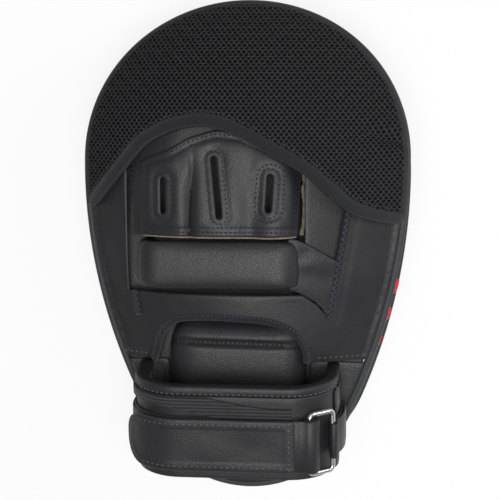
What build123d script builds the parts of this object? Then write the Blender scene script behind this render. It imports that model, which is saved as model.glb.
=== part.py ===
"""A curved focus mitt for the left hand, lying on its strike face.

+X is the thumb side, +Y is towards the fingertips and +Z is up, from the strike face to the
back of the hand. The origin is under the middle of the mitt, on the surface that it lies on.
The pad is bent about an axis that runs along X, far below the floor, so the strike face is
hollow and the mitt rests on its two tips. All sizes are in millimetres.
"""

from build123d import *
import math
import os

# Pad: an egg-shaped sandwich, bent like a barrel stave
pad_length = 280.0
pad_width = 183.0
flank_radius = 1.168 * pad_length
bend_radius = 520.0
cover_thickness = 1.6
impact_foam_thickness = 12.0
core_foam_thickness = 18.0
soft_foam_thickness = 7.0
layer_gap = 0.2

# Edge of the pad: a piped seam at each face, and the side walls between them
piping_width = 4.2
piping_height = 4.4
piping_rounding = 1.2
wall_inset = 1.6
wall_thickness = 1.8
strike_wall_height = 17.0
rim_band_split_y = -10.0
rim_band_gap = 0.4
rim_band_proud = 0.6

# Red tabs sewn on the strike wall, on both flanks
tab_count = 6
tab_pitch = 16.0
tab_top_y = -22.0
tab_width = 6.0
tab_lean = 3.0
tab_proud = 1.0
tab_margin = 2.0

# Hand cover: a thin dome over the back of the hand
shell_wall = 2.0
shell_inset = 7.0
shell_rim_height = 1.2
shell_crown = 28.0
shell_bottom_y = -61.0
tape_thickness = 0.9

# Wrist notch in the hand cover, and its binding
notch_left_x = -46.0
notch_right_x = 35.0
notch_top_y = -36.0
notch_corner_radius = 20.0
notch_binding_width = 4.2

# Window in the hand cover, under the hood, over the finger tunnel
window_left_x = -63.5
window_bottom_y = -22.0
wing_inner = (35.5, 6.5)
wing_outer = (50.0, -3.6)
seam_top = (59.0, 26.0)
seam_bottom = (48.0, -35.0)
seam_width = 4.6
recess_margin = 2.6
thumb_web_thickness = 1.2
thumb_web_low_y = -12.0
thumb_web_high_y = 60.0
tack_left_x = -62.5
tack_right_x = -58.0
tack_length = 14.0

# Mesh hood over the fingers; its lower edge is an arch across the mitt
hood_wall = 3.0
hood_inset = 2.6
hood_rim_height = 2.0
hood_crown = 36.0
hood_left_foot = (-100.0, 11.6)
hood_peak = (-29.3, 91.0)
hood_peak_radius = 53.5
hood_knee = (62.5, 26.0)
hood_knee_radius = 40.0
hood_right_foot = (104.0, 14.5)
hood_binding_width = 6.5
hood_binding_lap = 0.7

# Finger tunnel: an arch that holds the four fingers
tunnel_left_x = -62.0
tunnel_right_x = 33.0
tunnel_height = 30.0
tunnel_corner_radius = 18.0
pouch_wall = 2.0
pouch_bottom_y = 9.5
pouch_top_y = 92.0
pouch_below_hood = 3.5

# Slotted panel sewn on the finger pouch
panel_thickness = 2.0
panel_outline = ((-54.0, 11.0), (-53.5, 51.0), (-40.0, 56.5), (-28.0, 62.0), (-13.0, 68.0), (1.0, 66.5),
                 (14.0, 61.0), (31.5, 49.5), (30.0, 11.0))
slot_width = 3.0
slot_centres = ((-41.0, 32.5), (-12.0, 37.0), (16.5, 34.0))
slot_lengths = (19.5, 33.5, 20.5)
slot_leans = (0.0, 6.0, -3.0)

# Padded bar over the knuckles
bar_left_x = -58.0
bar_right_x = 34.0
bar_bottom_y = -18.5
bar_top_y = 9.0
bar_height = 34.0
bar_thickness = 9.0
bar_corner_radius = 20.0
bar_rounding = 4.0
bar_cover_thickness = 1.6

# Cushion for the heel of the hand
cushion_left_x = -43.0
cushion_right_x = 36.0
cushion_top_y = -36.0
cushion_bottom_y = -88.0
cushion_height = 17.0
cushion_corner_radius = 14.0
cushion_rounding = 7.0
cushion_cover_thickness = 1.6

# Heel panel on the pad below the hand cover
heel_thickness = 1.2
heel_inset = 6.0

# Wrist cuff: an arch that stands square to the bent pad
cuff_y = -88.0
cuff_centre_x = -3.0
cuff_half_width = 55.5
cuff_height = 46.0
cuff_corner_radius = 26.0
cuff_reach = 26.5
cuff_cover_thickness = 1.2
cuff_foam_thickness = 3.0
cuff_lining_thickness = 1.0
cuff_slope_start = -4.0
cuff_slope_rise = 20.0
cuff_binding_width = 5.5
cuff_binding_lap = 0.6

# Closure strap: up from the little-finger side, through the ring, and back over itself
strap_thickness = 1.2
loop_thickness = 1.0
hook_thickness = 1.0
flap_thickness = 2.2
flap_width = 30.0
flap_offset = 5.0
flap_left_x = -56.0
flap_corner_radius = 12.0
strap_right_x = 33.0
hook_right_x = 10.0
hook_margin = 3.5
elastic_line = ((-66.0, -25.0), (-36.0, -22.5), (-12.0, -14.0), (10.0, -8.0))
elastic_width = 11.0
elastic_thickness = 1.6

# Rectangular ring and the tab that keeps it
ring_wire_radius = 1.5
ring_length = 31.0
ring_corner_radius = 2.5
ring_clearance = 0.25
ring_strap_angle = 64.0
ring_keeper_angle = 37.0
keeper_panel_thickness = 1.2
keeper_panel_width = 50.0
keeper_panel_angle = 18.0
keeper_thickness = 1.6
keeper_width = 20.0
keeper_low = 11.0
fold_thickness = 1.6
fold_width = 28.0
joint_gap = 0.4

# Derived places
strike_cover_top = bend_radius + cover_thickness
impact_low = strike_cover_top + layer_gap
impact_high = impact_low + impact_foam_thickness
core_low = impact_high + layer_gap
core_high = core_low + core_foam_thickness
soft_low = core_high + layer_gap
soft_high = soft_low + soft_foam_thickness
back_cover_low = soft_high + layer_gap
back_radius = back_cover_low + cover_thickness
piping_front_top = bend_radius + piping_height
piping_back_low = back_radius - piping_height
strike_wall_low = piping_front_top + layer_gap
strike_wall_top = strike_wall_low + strike_wall_height
rim_band_low = strike_wall_top + layer_gap
rim_band_top = piping_back_low - layer_gap
cover_inset = piping_width + layer_gap
foam_inset = wall_inset + wall_thickness + layer_gap
rest_radius = back_radius + layer_gap

tip_angle = math.asin(pad_length / 2 / back_radius)
bend_axis_z = -bend_radius * math.cos(tip_angle)
bend_axis = Axis((0, 0, bend_axis_z), (1, 0, 0))
pad_top = bend_axis_z + back_radius
block_margin = 4.0
block_top = pad_length / 2


def outline_length(z):
    """Length of the pad's outline at a height, on sides that point at the bend axis."""
    return 2 * (z - bend_axis_z) * math.tan(tip_angle)


def back_height(y, lift=0.0):
    """Height of the pad's back, or of a surface that lies lift above it."""
    return bend_axis_z + math.sqrt((back_radius + lift) ** 2 - y**2)


def egg_arcs(length):
    """Centres and radii of the egg's arcs: broad end, flank and narrow end."""
    top_radius = pad_width / 2
    top_y = length / 2 - top_radius
    side_x = flank_radius - top_radius
    reach = length - top_radius
    tip_radius = (flank_radius**2 - side_x**2 - reach**2) / (2 * (flank_radius - reach))
    tip_y = tip_radius - length / 2
    return top_radius, top_y, side_x, tip_radius, tip_y


def half_width(y, inset):
    """Half the egg's width at the level of the pad's back."""
    length = outline_length(back_height(y))
    top_radius, top_y, side_x, tip_radius, tip_y = egg_arcs(length)
    join_y = top_y - flank_radius * (top_y - tip_y) / math.hypot(side_x, top_y - tip_y)
    if y > top_y:
        squared = (top_radius - inset) ** 2 - (y - top_y) ** 2
    elif y < join_y:
        squared = (tip_radius - inset) ** 2 - (y - tip_y) ** 2
    else:
        return math.sqrt((flank_radius - inset) ** 2 - (y - top_y) ** 2) - side_x
    return math.sqrt(max(squared, 0.0))


def pad_block(inset, low=-block_margin, high=pad_top + block_margin):
    """The pad's outline as a tall block whose ends lean towards the bend axis."""
    with BuildPart() as block:
        for z in (low, high):
            top_radius, top_y, side_x, tip_radius, tip_y = egg_arcs(outline_length(z))
            lean = math.atan2(top_y - tip_y, side_x)
            flank = flank_radius - inset
            broad = top_radius - inset
            narrow = tip_radius - inset
            join = (flank * math.cos(lean) - side_x, top_y - flank * math.sin(lean))
            middle = (flank * math.cos(lean / 2) - side_x, top_y - flank * math.sin(lean / 2))
            with BuildSketch(Plane.XY.offset(z)):
                with BuildLine():
                    ThreePointArc((broad, top_y), (0, top_y + broad), (-broad, top_y))
                    ThreePointArc((-broad, top_y), (-middle[0], middle[1]), (-join[0], join[1]))
                    ThreePointArc((-join[0], join[1]), (0, tip_y - narrow), join)
                    ThreePointArc(join, middle, (broad, top_y))
                make_face()
        loft(ruled=True)
    return block.part


def bend_slab(low, high):
    """A tube about the bend axis, which cuts one layer out of the pad."""
    with BuildPart() as slab:
        with BuildSketch(Plane.YZ):
            with Locations((0, bend_axis_z)):
                Circle(high)
                Circle(low, mode=Mode.SUBTRACT)
        extrude(amount=pad_width, both=True)
    return slab.part


def bend_core(radius):
    """Everything inside a radius about the bend axis: what lies under a surface of the pad."""
    with BuildPart() as core:
        with BuildSketch(Plane.YZ):
            with Locations((0, bend_axis_z)):
                Circle(radius)
        extrude(amount=pad_width, both=True)
    return core.part


def section_plane(y):
    """Cross-section at a place on the pad's back: local x is +X, local y is straight out."""
    angle = math.asin(y / back_radius)
    out = Vector(0, math.sin(angle), math.cos(angle))
    origin = Vector(0, 0, bend_axis_z) + out * back_radius
    return Plane(origin=origin, x_dir=(1, 0, 0), z_dir=Vector(1, 0, 0).cross(out))


def bend_angle(low_y, high_y):
    """Degrees round the bend axis between two places on the pad's back."""
    return math.degrees(math.asin(high_y / back_radius) - math.asin(low_y / back_radius))


def dome_block(inset, rim_height, crown, wall_below=0.0):
    """Everything under a dome that meets the outline at rim_height and stands crown above it.

    The dome turns about an axis along Y, below the pad, and its radius follows the outline.
    """
    centre_half_width = half_width(0, inset)
    depth = (centre_half_width**2 - crown**2) / (2 * crown)
    dome_axis_z = back_height(0, rim_height) - depth
    first_y = -pad_length / 2 + inset + 1.0
    last_y = pad_length / 2 - inset - 1.0
    stations = [first_y + (last_y - first_y) * i / 10 for i in range(11)]
    profile = []
    for y in stations:
        rise = back_height(y, rim_height) - dome_axis_z
        profile.append((y, math.hypot(half_width(y, inset), rise) - wall_below))
    extend = 2 * inset + 4.0
    with BuildPart() as dome:
        with BuildSketch(Plane.YZ.offset(0)):
            with BuildLine():
                curve = Spline(*[(y, dome_axis_z + r) for y, r in profile])
                start = curve @ 0 - (curve % 0) * extend
                end = curve @ 1 + (curve % 1) * extend
                Polyline(curve @ 1, end, (end.X, dome_axis_z), (start.X, dome_axis_z), start, curve @ 0)
            make_face()
        revolve(axis=Axis((0, 0, dome_axis_z), (0, 1, 0)))
    return dome.part


def planform(points, low=0.0):
    """A tall block over a closed outline of straight edges."""
    with BuildPart() as block:
        with BuildSketch(Plane.XY.offset(low)):
            with BuildLine():
                Polyline(*points, close=True)
            make_face()
        extrude(amount=block_top)
    return block.part


def write(piece, name):
    """Labels a finished piece and writes it as its own node."""
    piece.part.label = name
    export_step(piece.part, f"parts/{name}.step")


os.makedirs("parts", exist_ok=True)


# ---------------------------------------------------------------- the pad's layers

with BuildPart() as strike_cover:
    add(pad_block(cover_inset))
    add(bend_slab(bend_radius, strike_cover_top), mode=Mode.INTERSECT)
write(strike_cover, "strike_cover")

with BuildPart() as impact_foam:
    add(pad_block(foam_inset + piping_width))
    add(bend_slab(impact_low, impact_high), mode=Mode.INTERSECT)
write(impact_foam, "impact_foam")

with BuildPart() as core_foam:
    add(pad_block(foam_inset))
    add(bend_slab(core_low, core_high), mode=Mode.INTERSECT)
write(core_foam, "core_foam")

with BuildPart() as soft_foam:
    add(pad_block(foam_inset + piping_width))
    add(bend_slab(soft_low, soft_high), mode=Mode.INTERSECT)
write(soft_foam, "soft_foam")

with BuildPart() as back_cover:
    add(pad_block(cover_inset))
    add(bend_slab(back_cover_low, back_radius), mode=Mode.INTERSECT)
write(back_cover, "back_cover")


# ---------------------------------------------------------------- the pad's edge


def edge_ring(outer_inset, inner_inset, low, high):
    """A wall that follows the outline, between two insets and two radii."""
    with BuildPart() as ring:
        add(pad_block(outer_inset))
        add(pad_block(inner_inset), mode=Mode.SUBTRACT)
        add(bend_slab(low, high), mode=Mode.INTERSECT)
    return ring.part


with BuildPart() as strike_piping:
    add(edge_ring(0.0, piping_width, bend_radius, piping_front_top))
write(strike_piping, "strike_piping")

with BuildPart() as back_piping:
    add(edge_ring(0.0, piping_width, piping_back_low, back_radius))
write(back_piping, "back_piping")

with BuildPart() as strike_wall:
    add(edge_ring(wall_inset, wall_inset + wall_thickness, strike_wall_low, strike_wall_top))
write(strike_wall, "strike_wall")

rim_outer = wall_inset - rim_band_proud
with BuildPart() as rim_band_upper:
    add(edge_ring(rim_outer, rim_outer + wall_thickness, rim_band_low, rim_band_top))
    with BuildSketch(Plane.XY):
        with Locations((0, rim_band_split_y + rim_band_gap / 2)):
            Rectangle(pad_width, pad_length, align=(Align.CENTER, Align.MIN))
    extrude(amount=block_top, mode=Mode.INTERSECT)
write(rim_band_upper, "rim_band_upper")

with BuildPart() as rim_band_lower:
    add(edge_ring(rim_outer, rim_outer + wall_thickness, rim_band_low, rim_band_top))
    with BuildSketch(Plane.XY):
        with Locations((0, rim_band_split_y - rim_band_gap / 2)):
            Rectangle(pad_width, pad_length, align=(Align.CENTER, Align.MAX))
    extrude(amount=block_top, mode=Mode.INTERSECT)
write(rim_band_lower, "rim_band_lower")

# Each tab leans, and lies between the strike wall and the outline.
with BuildPart() as side_tabs:
    add(edge_ring(wall_inset - tab_proud, wall_inset - layer_gap / 2,
                  strike_wall_low + tab_margin, strike_wall_top - tab_margin))
    with BuildSketch(Plane.YZ):
        for i in range(tab_count):
            tab_y = tab_top_y - i * tab_pitch
            tab_low_z = back_height(tab_y) - (back_radius - strike_wall_low) - tab_width
            tab_high_z = tab_low_z + strike_wall_height + 2 * tab_width
            Polygon(
                (tab_y - tab_lean - tab_width / 2, tab_low_z),
                (tab_y - tab_lean + tab_width / 2, tab_low_z),
                (tab_y + tab_lean + tab_width / 2, tab_high_z),
                (tab_y + tab_lean - tab_width / 2, tab_high_z),
                align=None,
            )
    extrude(amount=pad_width, both=True, mode=Mode.INTERSECT)
write(side_tabs, "side_tabs")


# ---------------------------------------------------------------- the hand cover and its hood


def seam_x(y):
    """Where the zigzag thumb seam lies at a level."""
    slope = (seam_top[0] - seam_bottom[0]) / (seam_top[1] - seam_bottom[1])
    return seam_bottom[0] + (y - seam_bottom[1]) * slope


def hood_outline(grow=0.0):
    """The hood's planform, from its arched edge to beyond the fingertips."""
    with BuildPart() as block:
        with BuildSketch(Plane.XY):
            Polygon(hood_left_foot, hood_peak, hood_knee, hood_right_foot,
                    (hood_right_foot[0], pad_length), (hood_left_foot[0], pad_length), align=None)
            fillet(vertices().sort_by_distance((*hood_peak, 0))[0], hood_peak_radius)
            fillet(vertices().sort_by_distance((*hood_knee, 0))[0], hood_knee_radius)
            if grow:
                offset(amount=grow)
        extrude(amount=block_top)
    return block.part


def notch_outline(grow=0.0):
    """The wrist notch's planform: a wide, upside-down U."""
    with BuildPart() as block:
        with BuildSketch(Plane.XY):
            with Locations(((notch_left_x + notch_right_x) / 2, notch_top_y + grow)):
                Rectangle(notch_right_x - notch_left_x + 2 * grow, pad_length,
                          align=(Align.CENTER, Align.MAX))
            corners = vertices().group_by(Axis.Y)[-1]
            fillet(corners, notch_corner_radius + grow)
        extrude(amount=block_top)
    return block.part


def shell_layer(low, high):
    """A layer of the hand cover, between two heights above its outside face."""
    with BuildPart() as layer:
        add(dome_block(shell_inset, shell_rim_height, shell_crown, -high))
        add(dome_block(shell_inset, shell_rim_height, shell_crown, -low), mode=Mode.SUBTRACT)
        add(bend_core(rest_radius), mode=Mode.SUBTRACT)
        with BuildSketch(Plane.XY.offset(block_top)):
            with Locations((0, shell_bottom_y)):
                Rectangle(pad_width, pad_length, align=(Align.CENTER, Align.MIN))
        extrude(amount=-block_top, mode=Mode.INTERSECT)
    return layer.part


hand_side = ((-pad_width, -pad_length), (seam_x(-pad_length) - layer_gap, -pad_length),
             (seam_x(pad_length) - layer_gap, pad_length), (-pad_width, pad_length))
thumb_side = ((pad_width, -pad_length), (seam_x(-pad_length) + layer_gap, -pad_length),
              (seam_x(pad_length) + layer_gap, pad_length), (pad_width, pad_length))
window = ((window_left_x, window_bottom_y), (wing_inner[0], window_bottom_y), wing_inner, wing_outer,
          (seam_x(wing_outer[1]) - recess_margin, wing_outer[1] + 1.0),
          (seam_x(pad_length) - recess_margin, pad_length), (window_left_x, pad_length))

with BuildPart() as hand_cover:
    add(shell_layer(-shell_wall, 0.0))
    add(planform(hand_side), mode=Mode.INTERSECT)
    add(planform(window), mode=Mode.SUBTRACT)
    add(notch_outline(), mode=Mode.SUBTRACT)
    add(hood_outline(layer_gap), mode=Mode.SUBTRACT)
write(hand_cover, "hand_cover")

with BuildPart() as thumb_panel:
    add(shell_layer(-shell_wall, 0.0))
    add(planform(thumb_side), mode=Mode.INTERSECT)
    add(hood_outline(layer_gap), mode=Mode.SUBTRACT)
write(thumb_panel, "thumb_panel")

with BuildPart() as thumb_seam:
    add(shell_layer(layer_gap, layer_gap + tape_thickness))
    half_seam = seam_width / 2
    add(planform(((seam_bottom[0] - half_seam, seam_bottom[1]), (seam_bottom[0] + half_seam, seam_bottom[1]),
                  (seam_top[0] + half_seam, seam_top[1]), (seam_top[0] - half_seam, seam_top[1]))),
        mode=Mode.INTERSECT)
    add(hood_outline(1.0), mode=Mode.SUBTRACT)
write(thumb_seam, "thumb_seam")

# The web fills the recess between the finger tunnel and the thumb seam, just below the cover.
web_left_x = max(tunnel_right_x, bar_right_x) + 3 * layer_gap
web_top = -shell_wall - layer_gap
with BuildPart() as thumb_web:
    add(shell_layer(web_top - thumb_web_thickness, web_top))
    add(planform(((web_left_x, thumb_web_low_y), (seam_x(thumb_web_low_y), thumb_web_low_y),
                  (seam_x(thumb_web_high_y), thumb_web_high_y), (web_left_x, thumb_web_high_y))),
        mode=Mode.INTERSECT)
write(thumb_web, "thumb_web")

with BuildPart() as left_tack:
    add(shell_layer(layer_gap, layer_gap + tape_thickness))
    tack_top_y = window_bottom_y - layer_gap
    add(planform(((tack_left_x, tack_top_y - tack_length), (tack_right_x, tack_top_y - tack_length),
                  (tack_right_x, tack_top_y), (tack_left_x, tack_top_y))), mode=Mode.INTERSECT)
write(left_tack, "left_tack")

with BuildPart() as notch_binding:
    add(shell_layer(layer_gap, layer_gap + tape_thickness))
    add(notch_outline(notch_binding_width), mode=Mode.INTERSECT)
    add(notch_outline(), mode=Mode.SUBTRACT)
write(notch_binding, "notch_binding")


def hood_layer(low, high):
    """A layer of the hood, between two heights above its outside face."""
    with BuildPart() as layer:
        add(dome_block(hood_inset, hood_rim_height, hood_crown, -high))
        add(dome_block(hood_inset, hood_rim_height, hood_crown, -low), mode=Mode.SUBTRACT)
        add(bend_core(rest_radius), mode=Mode.SUBTRACT)
    return layer.part


with BuildPart() as mesh_hood:
    add(hood_layer(-hood_wall, 0.0))
    add(hood_outline(-hood_binding_width - layer_gap), mode=Mode.INTERSECT)
write(mesh_hood, "mesh_hood")

with BuildPart() as hood_binding:
    add(hood_layer(-hood_wall - hood_binding_lap, hood_binding_lap))
    add(hood_outline(), mode=Mode.INTERSECT)
    add(hood_outline(-hood_binding_width), mode=Mode.SUBTRACT)
write(hood_binding, "hood_binding")


# ---------------------------------------------------------------- the finger tunnel


def bent_arch(left_x, right_x, height, corner_radius, low_y, high_y):
    """A block with rounded shoulders that stands on the pad and follows its bend."""
    turn = bend_angle(low_y, high_y)
    with BuildPart() as arch:
        with BuildSketch(section_plane(high_y)):
            with Locations(((left_x + right_x) / 2, layer_gap)):
                Rectangle(right_x - left_x, height - layer_gap, align=(Align.CENTER, Align.MIN))
            fillet(vertices().group_by(Axis.Y)[-1], corner_radius)
        revolve(axis=bend_axis, revolution_arc=turn)
    return arch.part


def tunnel_arch(grow, low_y=pouch_bottom_y, high_y=pouch_top_y):
    """The finger tunnel's arch, grown all round, and kept down under the hood."""
    with BuildPart() as arch:
        add(bent_arch(tunnel_left_x - grow, tunnel_right_x + grow, tunnel_height + grow,
                      tunnel_corner_radius + grow, low_y, high_y))
        add(dome_block(hood_inset, hood_rim_height, hood_crown, hood_wall + pouch_below_hood - grow),
            mode=Mode.INTERSECT)
    return arch.part


with BuildPart() as finger_pouch:
    add(tunnel_arch(0.0))
    add(tunnel_arch(-pouch_wall, pouch_bottom_y - 5, pouch_top_y + 5), mode=Mode.SUBTRACT)
write(finger_pouch, "finger_pouch")

with BuildPart() as finger_panel:
    add(tunnel_arch(layer_gap + panel_thickness))
    add(tunnel_arch(layer_gap, pouch_bottom_y - 5, pouch_top_y + 5), mode=Mode.SUBTRACT)
    add(planform(panel_outline), mode=Mode.INTERSECT)
    with BuildSketch(Plane.XY):
        for centre, length, lean in zip(slot_centres, slot_lengths, slot_leans):
            with Locations(Location(centre, (0, 0, lean))):
                SlotOverall(length, slot_width, rotation=90)
    extrude(amount=block_top, mode=Mode.SUBTRACT)
write(finger_panel, "finger_panel")


def bar_solid(shrink, end_shrink):
    """The knuckle bar's roll, shrunk on every side."""
    with BuildPart() as roll:
        add(bent_arch(bar_left_x + shrink, bar_right_x - shrink, bar_height - shrink,
                      bar_corner_radius - shrink, bar_bottom_y + end_shrink, bar_top_y - end_shrink))
        inner = bar_thickness - shrink
        add(bent_arch(bar_left_x + inner, bar_right_x - inner, bar_height - inner,
                      bar_corner_radius - inner, bar_bottom_y - 5, bar_top_y + 5), mode=Mode.SUBTRACT)
    return roll.part


with BuildPart() as bar_foam:
    add(bar_solid(bar_cover_thickness + layer_gap, bar_cover_thickness + layer_gap))
    add(bend_core(rest_radius + bar_cover_thickness + layer_gap), mode=Mode.SUBTRACT)
write(bar_foam, "bar_foam")

with BuildPart() as bar_cover:
    add(bar_solid(0.0, 0.0))
    add(bar_solid(bar_cover_thickness, bar_cover_thickness), mode=Mode.SUBTRACT)
write(bar_cover, "bar_cover")


# ---------------------------------------------------------------- the cushion and the heel


def cushion_block(shrink, side_shrink):
    """The cushion's shape, shrunk at its top and round its sides."""
    with BuildPart() as block:
        with BuildSketch(Plane.XY):
            with Locations(((cushion_left_x + cushion_right_x) / 2, (cushion_top_y + cushion_bottom_y) / 2)):
                RectangleRounded(cushion_right_x - cushion_left_x - 2 * side_shrink,
                                 cushion_top_y - cushion_bottom_y - 2 * side_shrink,
                                 cushion_corner_radius - side_shrink)
        extrude(amount=block_top)
        add(bend_slab(rest_radius, rest_radius + cushion_height - shrink), mode=Mode.INTERSECT)
        upper = edges().filter_by(lambda e: e.center().Z > back_height(0) + cushion_height / 2)
        fillet(upper.filter_by(lambda e: e.length > 5), cushion_rounding - shrink)
    return block.part


with BuildPart() as cushion_foam:
    add(cushion_block(cushion_cover_thickness + layer_gap, cushion_cover_thickness + layer_gap))
write(cushion_foam, "cushion_foam")

with BuildPart() as cushion_cover:
    add(cushion_block(0.0, 0.0))
    add(cushion_block(cushion_cover_thickness, cushion_cover_thickness), mode=Mode.SUBTRACT)
write(cushion_cover, "cushion_cover")

with BuildPart() as heel_panel:
    add(pad_block(heel_inset))
    add(bend_slab(rest_radius, rest_radius + heel_thickness), mode=Mode.INTERSECT)
    with BuildSketch(Plane.XY):
        with Locations((0, shell_bottom_y - 2 * layer_gap)):
            Rectangle(pad_width, pad_length, align=(Align.CENTER, Align.MAX))
        with Locations(((cushion_left_x + cushion_right_x) / 2, (cushion_top_y + cushion_bottom_y) / 2)):
            RectangleRounded(cushion_right_x - cushion_left_x + 2 * layer_gap,
                             cushion_top_y - cushion_bottom_y + 2 * layer_gap,
                             cushion_corner_radius + layer_gap, mode=Mode.SUBTRACT)
    extrude(amount=block_top, mode=Mode.INTERSECT)
write(heel_panel, "heel_panel")


# ---------------------------------------------------------------- the wrist cuff

cuff_plane = section_plane(cuff_y)
cuff_out = cuff_plane.y_dir
cuff_along = cuff_plane.z_dir
cuff_map = Plane(origin=cuff_plane.origin, x_dir=(1, 0, 0), z_dir=-cuff_out)
cuff_side = Plane(origin=cuff_plane.origin, x_dir=cuff_along, z_dir=(-1, 0, 0))
cuff_stack = cuff_cover_thickness + cuff_foam_thickness + cuff_lining_thickness + 2 * layer_gap


def cuff_arch(offset_out, start, stop):
    """A block under the cuff's outside face, moved out, from start to stop along the wrist."""
    with BuildPart() as arch:
        with BuildSketch(cuff_plane.offset(start)):
            with Locations((cuff_centre_x, -cuff_height)):
                Rectangle(2 * (cuff_half_width + offset_out), 2 * cuff_height + offset_out,
                          align=(Align.CENTER, Align.MIN))
            fillet(vertices().group_by(Axis.Y)[-1], cuff_corner_radius + offset_out)
        extrude(amount=stop - start)
    return arch.part


def cuff_layer(low, high, start, stop):
    """A layer of the cuff between two offsets, cut off above the heel along a rising line."""
    with BuildPart() as layer:
        add(cuff_arch(high, start, stop))
        add(cuff_arch(low, start - 5, stop + 5), mode=Mode.SUBTRACT)
        add(bend_core(rest_radius + heel_thickness + layer_gap), mode=Mode.SUBTRACT)
        with BuildSketch(cuff_side):
            Polygon((-pad_length, -pad_length), (-pad_length, 0), (cuff_slope_start, 0),
                    (cuff_reach, cuff_slope_rise), (pad_length, cuff_slope_rise),
                    (pad_length, -pad_length), align=None)
        extrude(amount=pad_width, both=True, mode=Mode.SUBTRACT)
    return layer.part


cuff_start = -cuff_reach
body_start = cuff_start + cuff_binding_width + layer_gap
with BuildPart() as cuff_cover:
    add(cuff_layer(-cuff_cover_thickness, 0.0, body_start, cuff_reach))
write(cuff_cover, "cuff_cover")

with BuildPart() as cuff_foam:
    foam_out = -cuff_cover_thickness - layer_gap
    add(cuff_layer(foam_out - cuff_foam_thickness, foam_out, body_start, cuff_reach - 2.0))
write(cuff_foam, "cuff_foam")

with BuildPart() as cuff_lining:
    add(cuff_layer(-cuff_stack, -cuff_stack + cuff_lining_thickness, body_start, cuff_reach))
write(cuff_lining, "cuff_lining")

with BuildPart() as cuff_binding:
    add(cuff_layer(-cuff_stack - cuff_binding_lap, cuff_binding_lap, cuff_start,
                   cuff_start + cuff_binding_width))
write(cuff_binding, "cuff_binding")


# ---------------------------------------------------------------- straps, ring and flap


def cuff_patch(points):
    """A block over a closed outline given as x and distance along the wrist."""
    with BuildPart() as block:
        with BuildSketch(cuff_map):
            Polygon(*points, align=None)
        extrude(amount=-block_top)
    return block.part


def strip(left_x, right_x, start, stop):
    """Outline of a straight strip across the cuff."""
    return ((left_x, start), (right_x, start), (right_x, stop), (left_x, stop))


flap_start = flap_offset - flap_width / 2
flap_stop = flap_offset + flap_width / 2
strap_low = layer_gap
loop_low = strap_low + strap_thickness + layer_gap
hook_low = loop_low + loop_thickness + joint_gap
flap_low = hook_low + hook_thickness + layer_gap

shoulder_x = cuff_centre_x + cuff_half_width - cuff_corner_radius
shoulder_y = cuff_height - cuff_corner_radius
bar_room = ring_wire_radius + ring_clearance
keeper_centre = (cuff_corner_radius + 2 * layer_gap + keeper_panel_thickness + keeper_thickness
                 + bar_room)
strap_centre = cuff_corner_radius + joint_gap + fold_thickness + bar_room


def shoulder_point(radius, angle):
    """Place in the cuff's cross-section, by radius and angle about its thumb-side shoulder."""
    turn = math.radians(angle)
    return Vector(shoulder_x + radius * math.cos(turn), shoulder_y + radius * math.sin(turn))


keeper_bar = shoulder_point(keeper_centre, ring_keeper_angle)
strap_bar = shoulder_point(strap_centre, ring_strap_angle)


def bar_cylinder(centre, radius, start, stop):
    """A round block along one of the ring's bars."""
    with BuildPart() as rod:
        with BuildSketch(cuff_plane.offset(start)):
            with Locations((centre.X, centre.Y)):
                Circle(radius)
        extrude(amount=stop - start)
    return rod.part


with BuildPart() as closure_strap:
    add(cuff_layer(strap_low, strap_low + strap_thickness, flap_start + 0.5, flap_stop - 0.5))
    add(cuff_patch(strip(-pad_width, strap_right_x, -pad_width, pad_width)), mode=Mode.INTERSECT)
    add(bar_cylinder(strap_bar, bar_room + fold_thickness + joint_gap, -pad_width, pad_width),
        mode=Mode.SUBTRACT)
write(closure_strap, "closure_strap")

with BuildPart() as loop_patch:
    add(cuff_layer(loop_low, loop_low + loop_thickness, flap_start + 1.5, flap_stop - 1.5))
    add(cuff_patch(strip(-pad_width, strap_right_x - 4.0, -pad_width, pad_width)), mode=Mode.INTERSECT)
    add(bar_cylinder(strap_bar, bar_room + fold_thickness + joint_gap, -pad_width, pad_width),
        mode=Mode.SUBTRACT)
write(loop_patch, "loop_patch")

elastic_half = elastic_width / 2
elastic_outline = ([(x, t - elastic_half) for x, t in elastic_line]
                   + [(x, t + elastic_half) for x, t in reversed(elastic_line)])
with BuildPart() as elastic_edge:
    add(cuff_layer(layer_gap, layer_gap + elastic_thickness, body_start + 1.0, flap_start + 0.5 - layer_gap))
    add(cuff_patch(elastic_outline), mode=Mode.INTERSECT)
write(elastic_edge, "elastic_edge")

with BuildPart() as keeper_panel:
    add(cuff_layer(layer_gap, layer_gap + keeper_panel_thickness, body_start + 1.0,
                   body_start + keeper_panel_width - 4.0))
    with BuildSketch(cuff_plane.offset(-pad_width)):
        panel_top = shoulder_point(4 * cuff_corner_radius, keeper_panel_angle)
        Polygon((shoulder_x, shoulder_y), (panel_top.X, panel_top.Y), (panel_top.X, -pad_width),
                (shoulder_x, -pad_width), align=None)
    extrude(amount=2 * pad_width, mode=Mode.INTERSECT)
write(keeper_panel, "keeper_panel")

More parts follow.
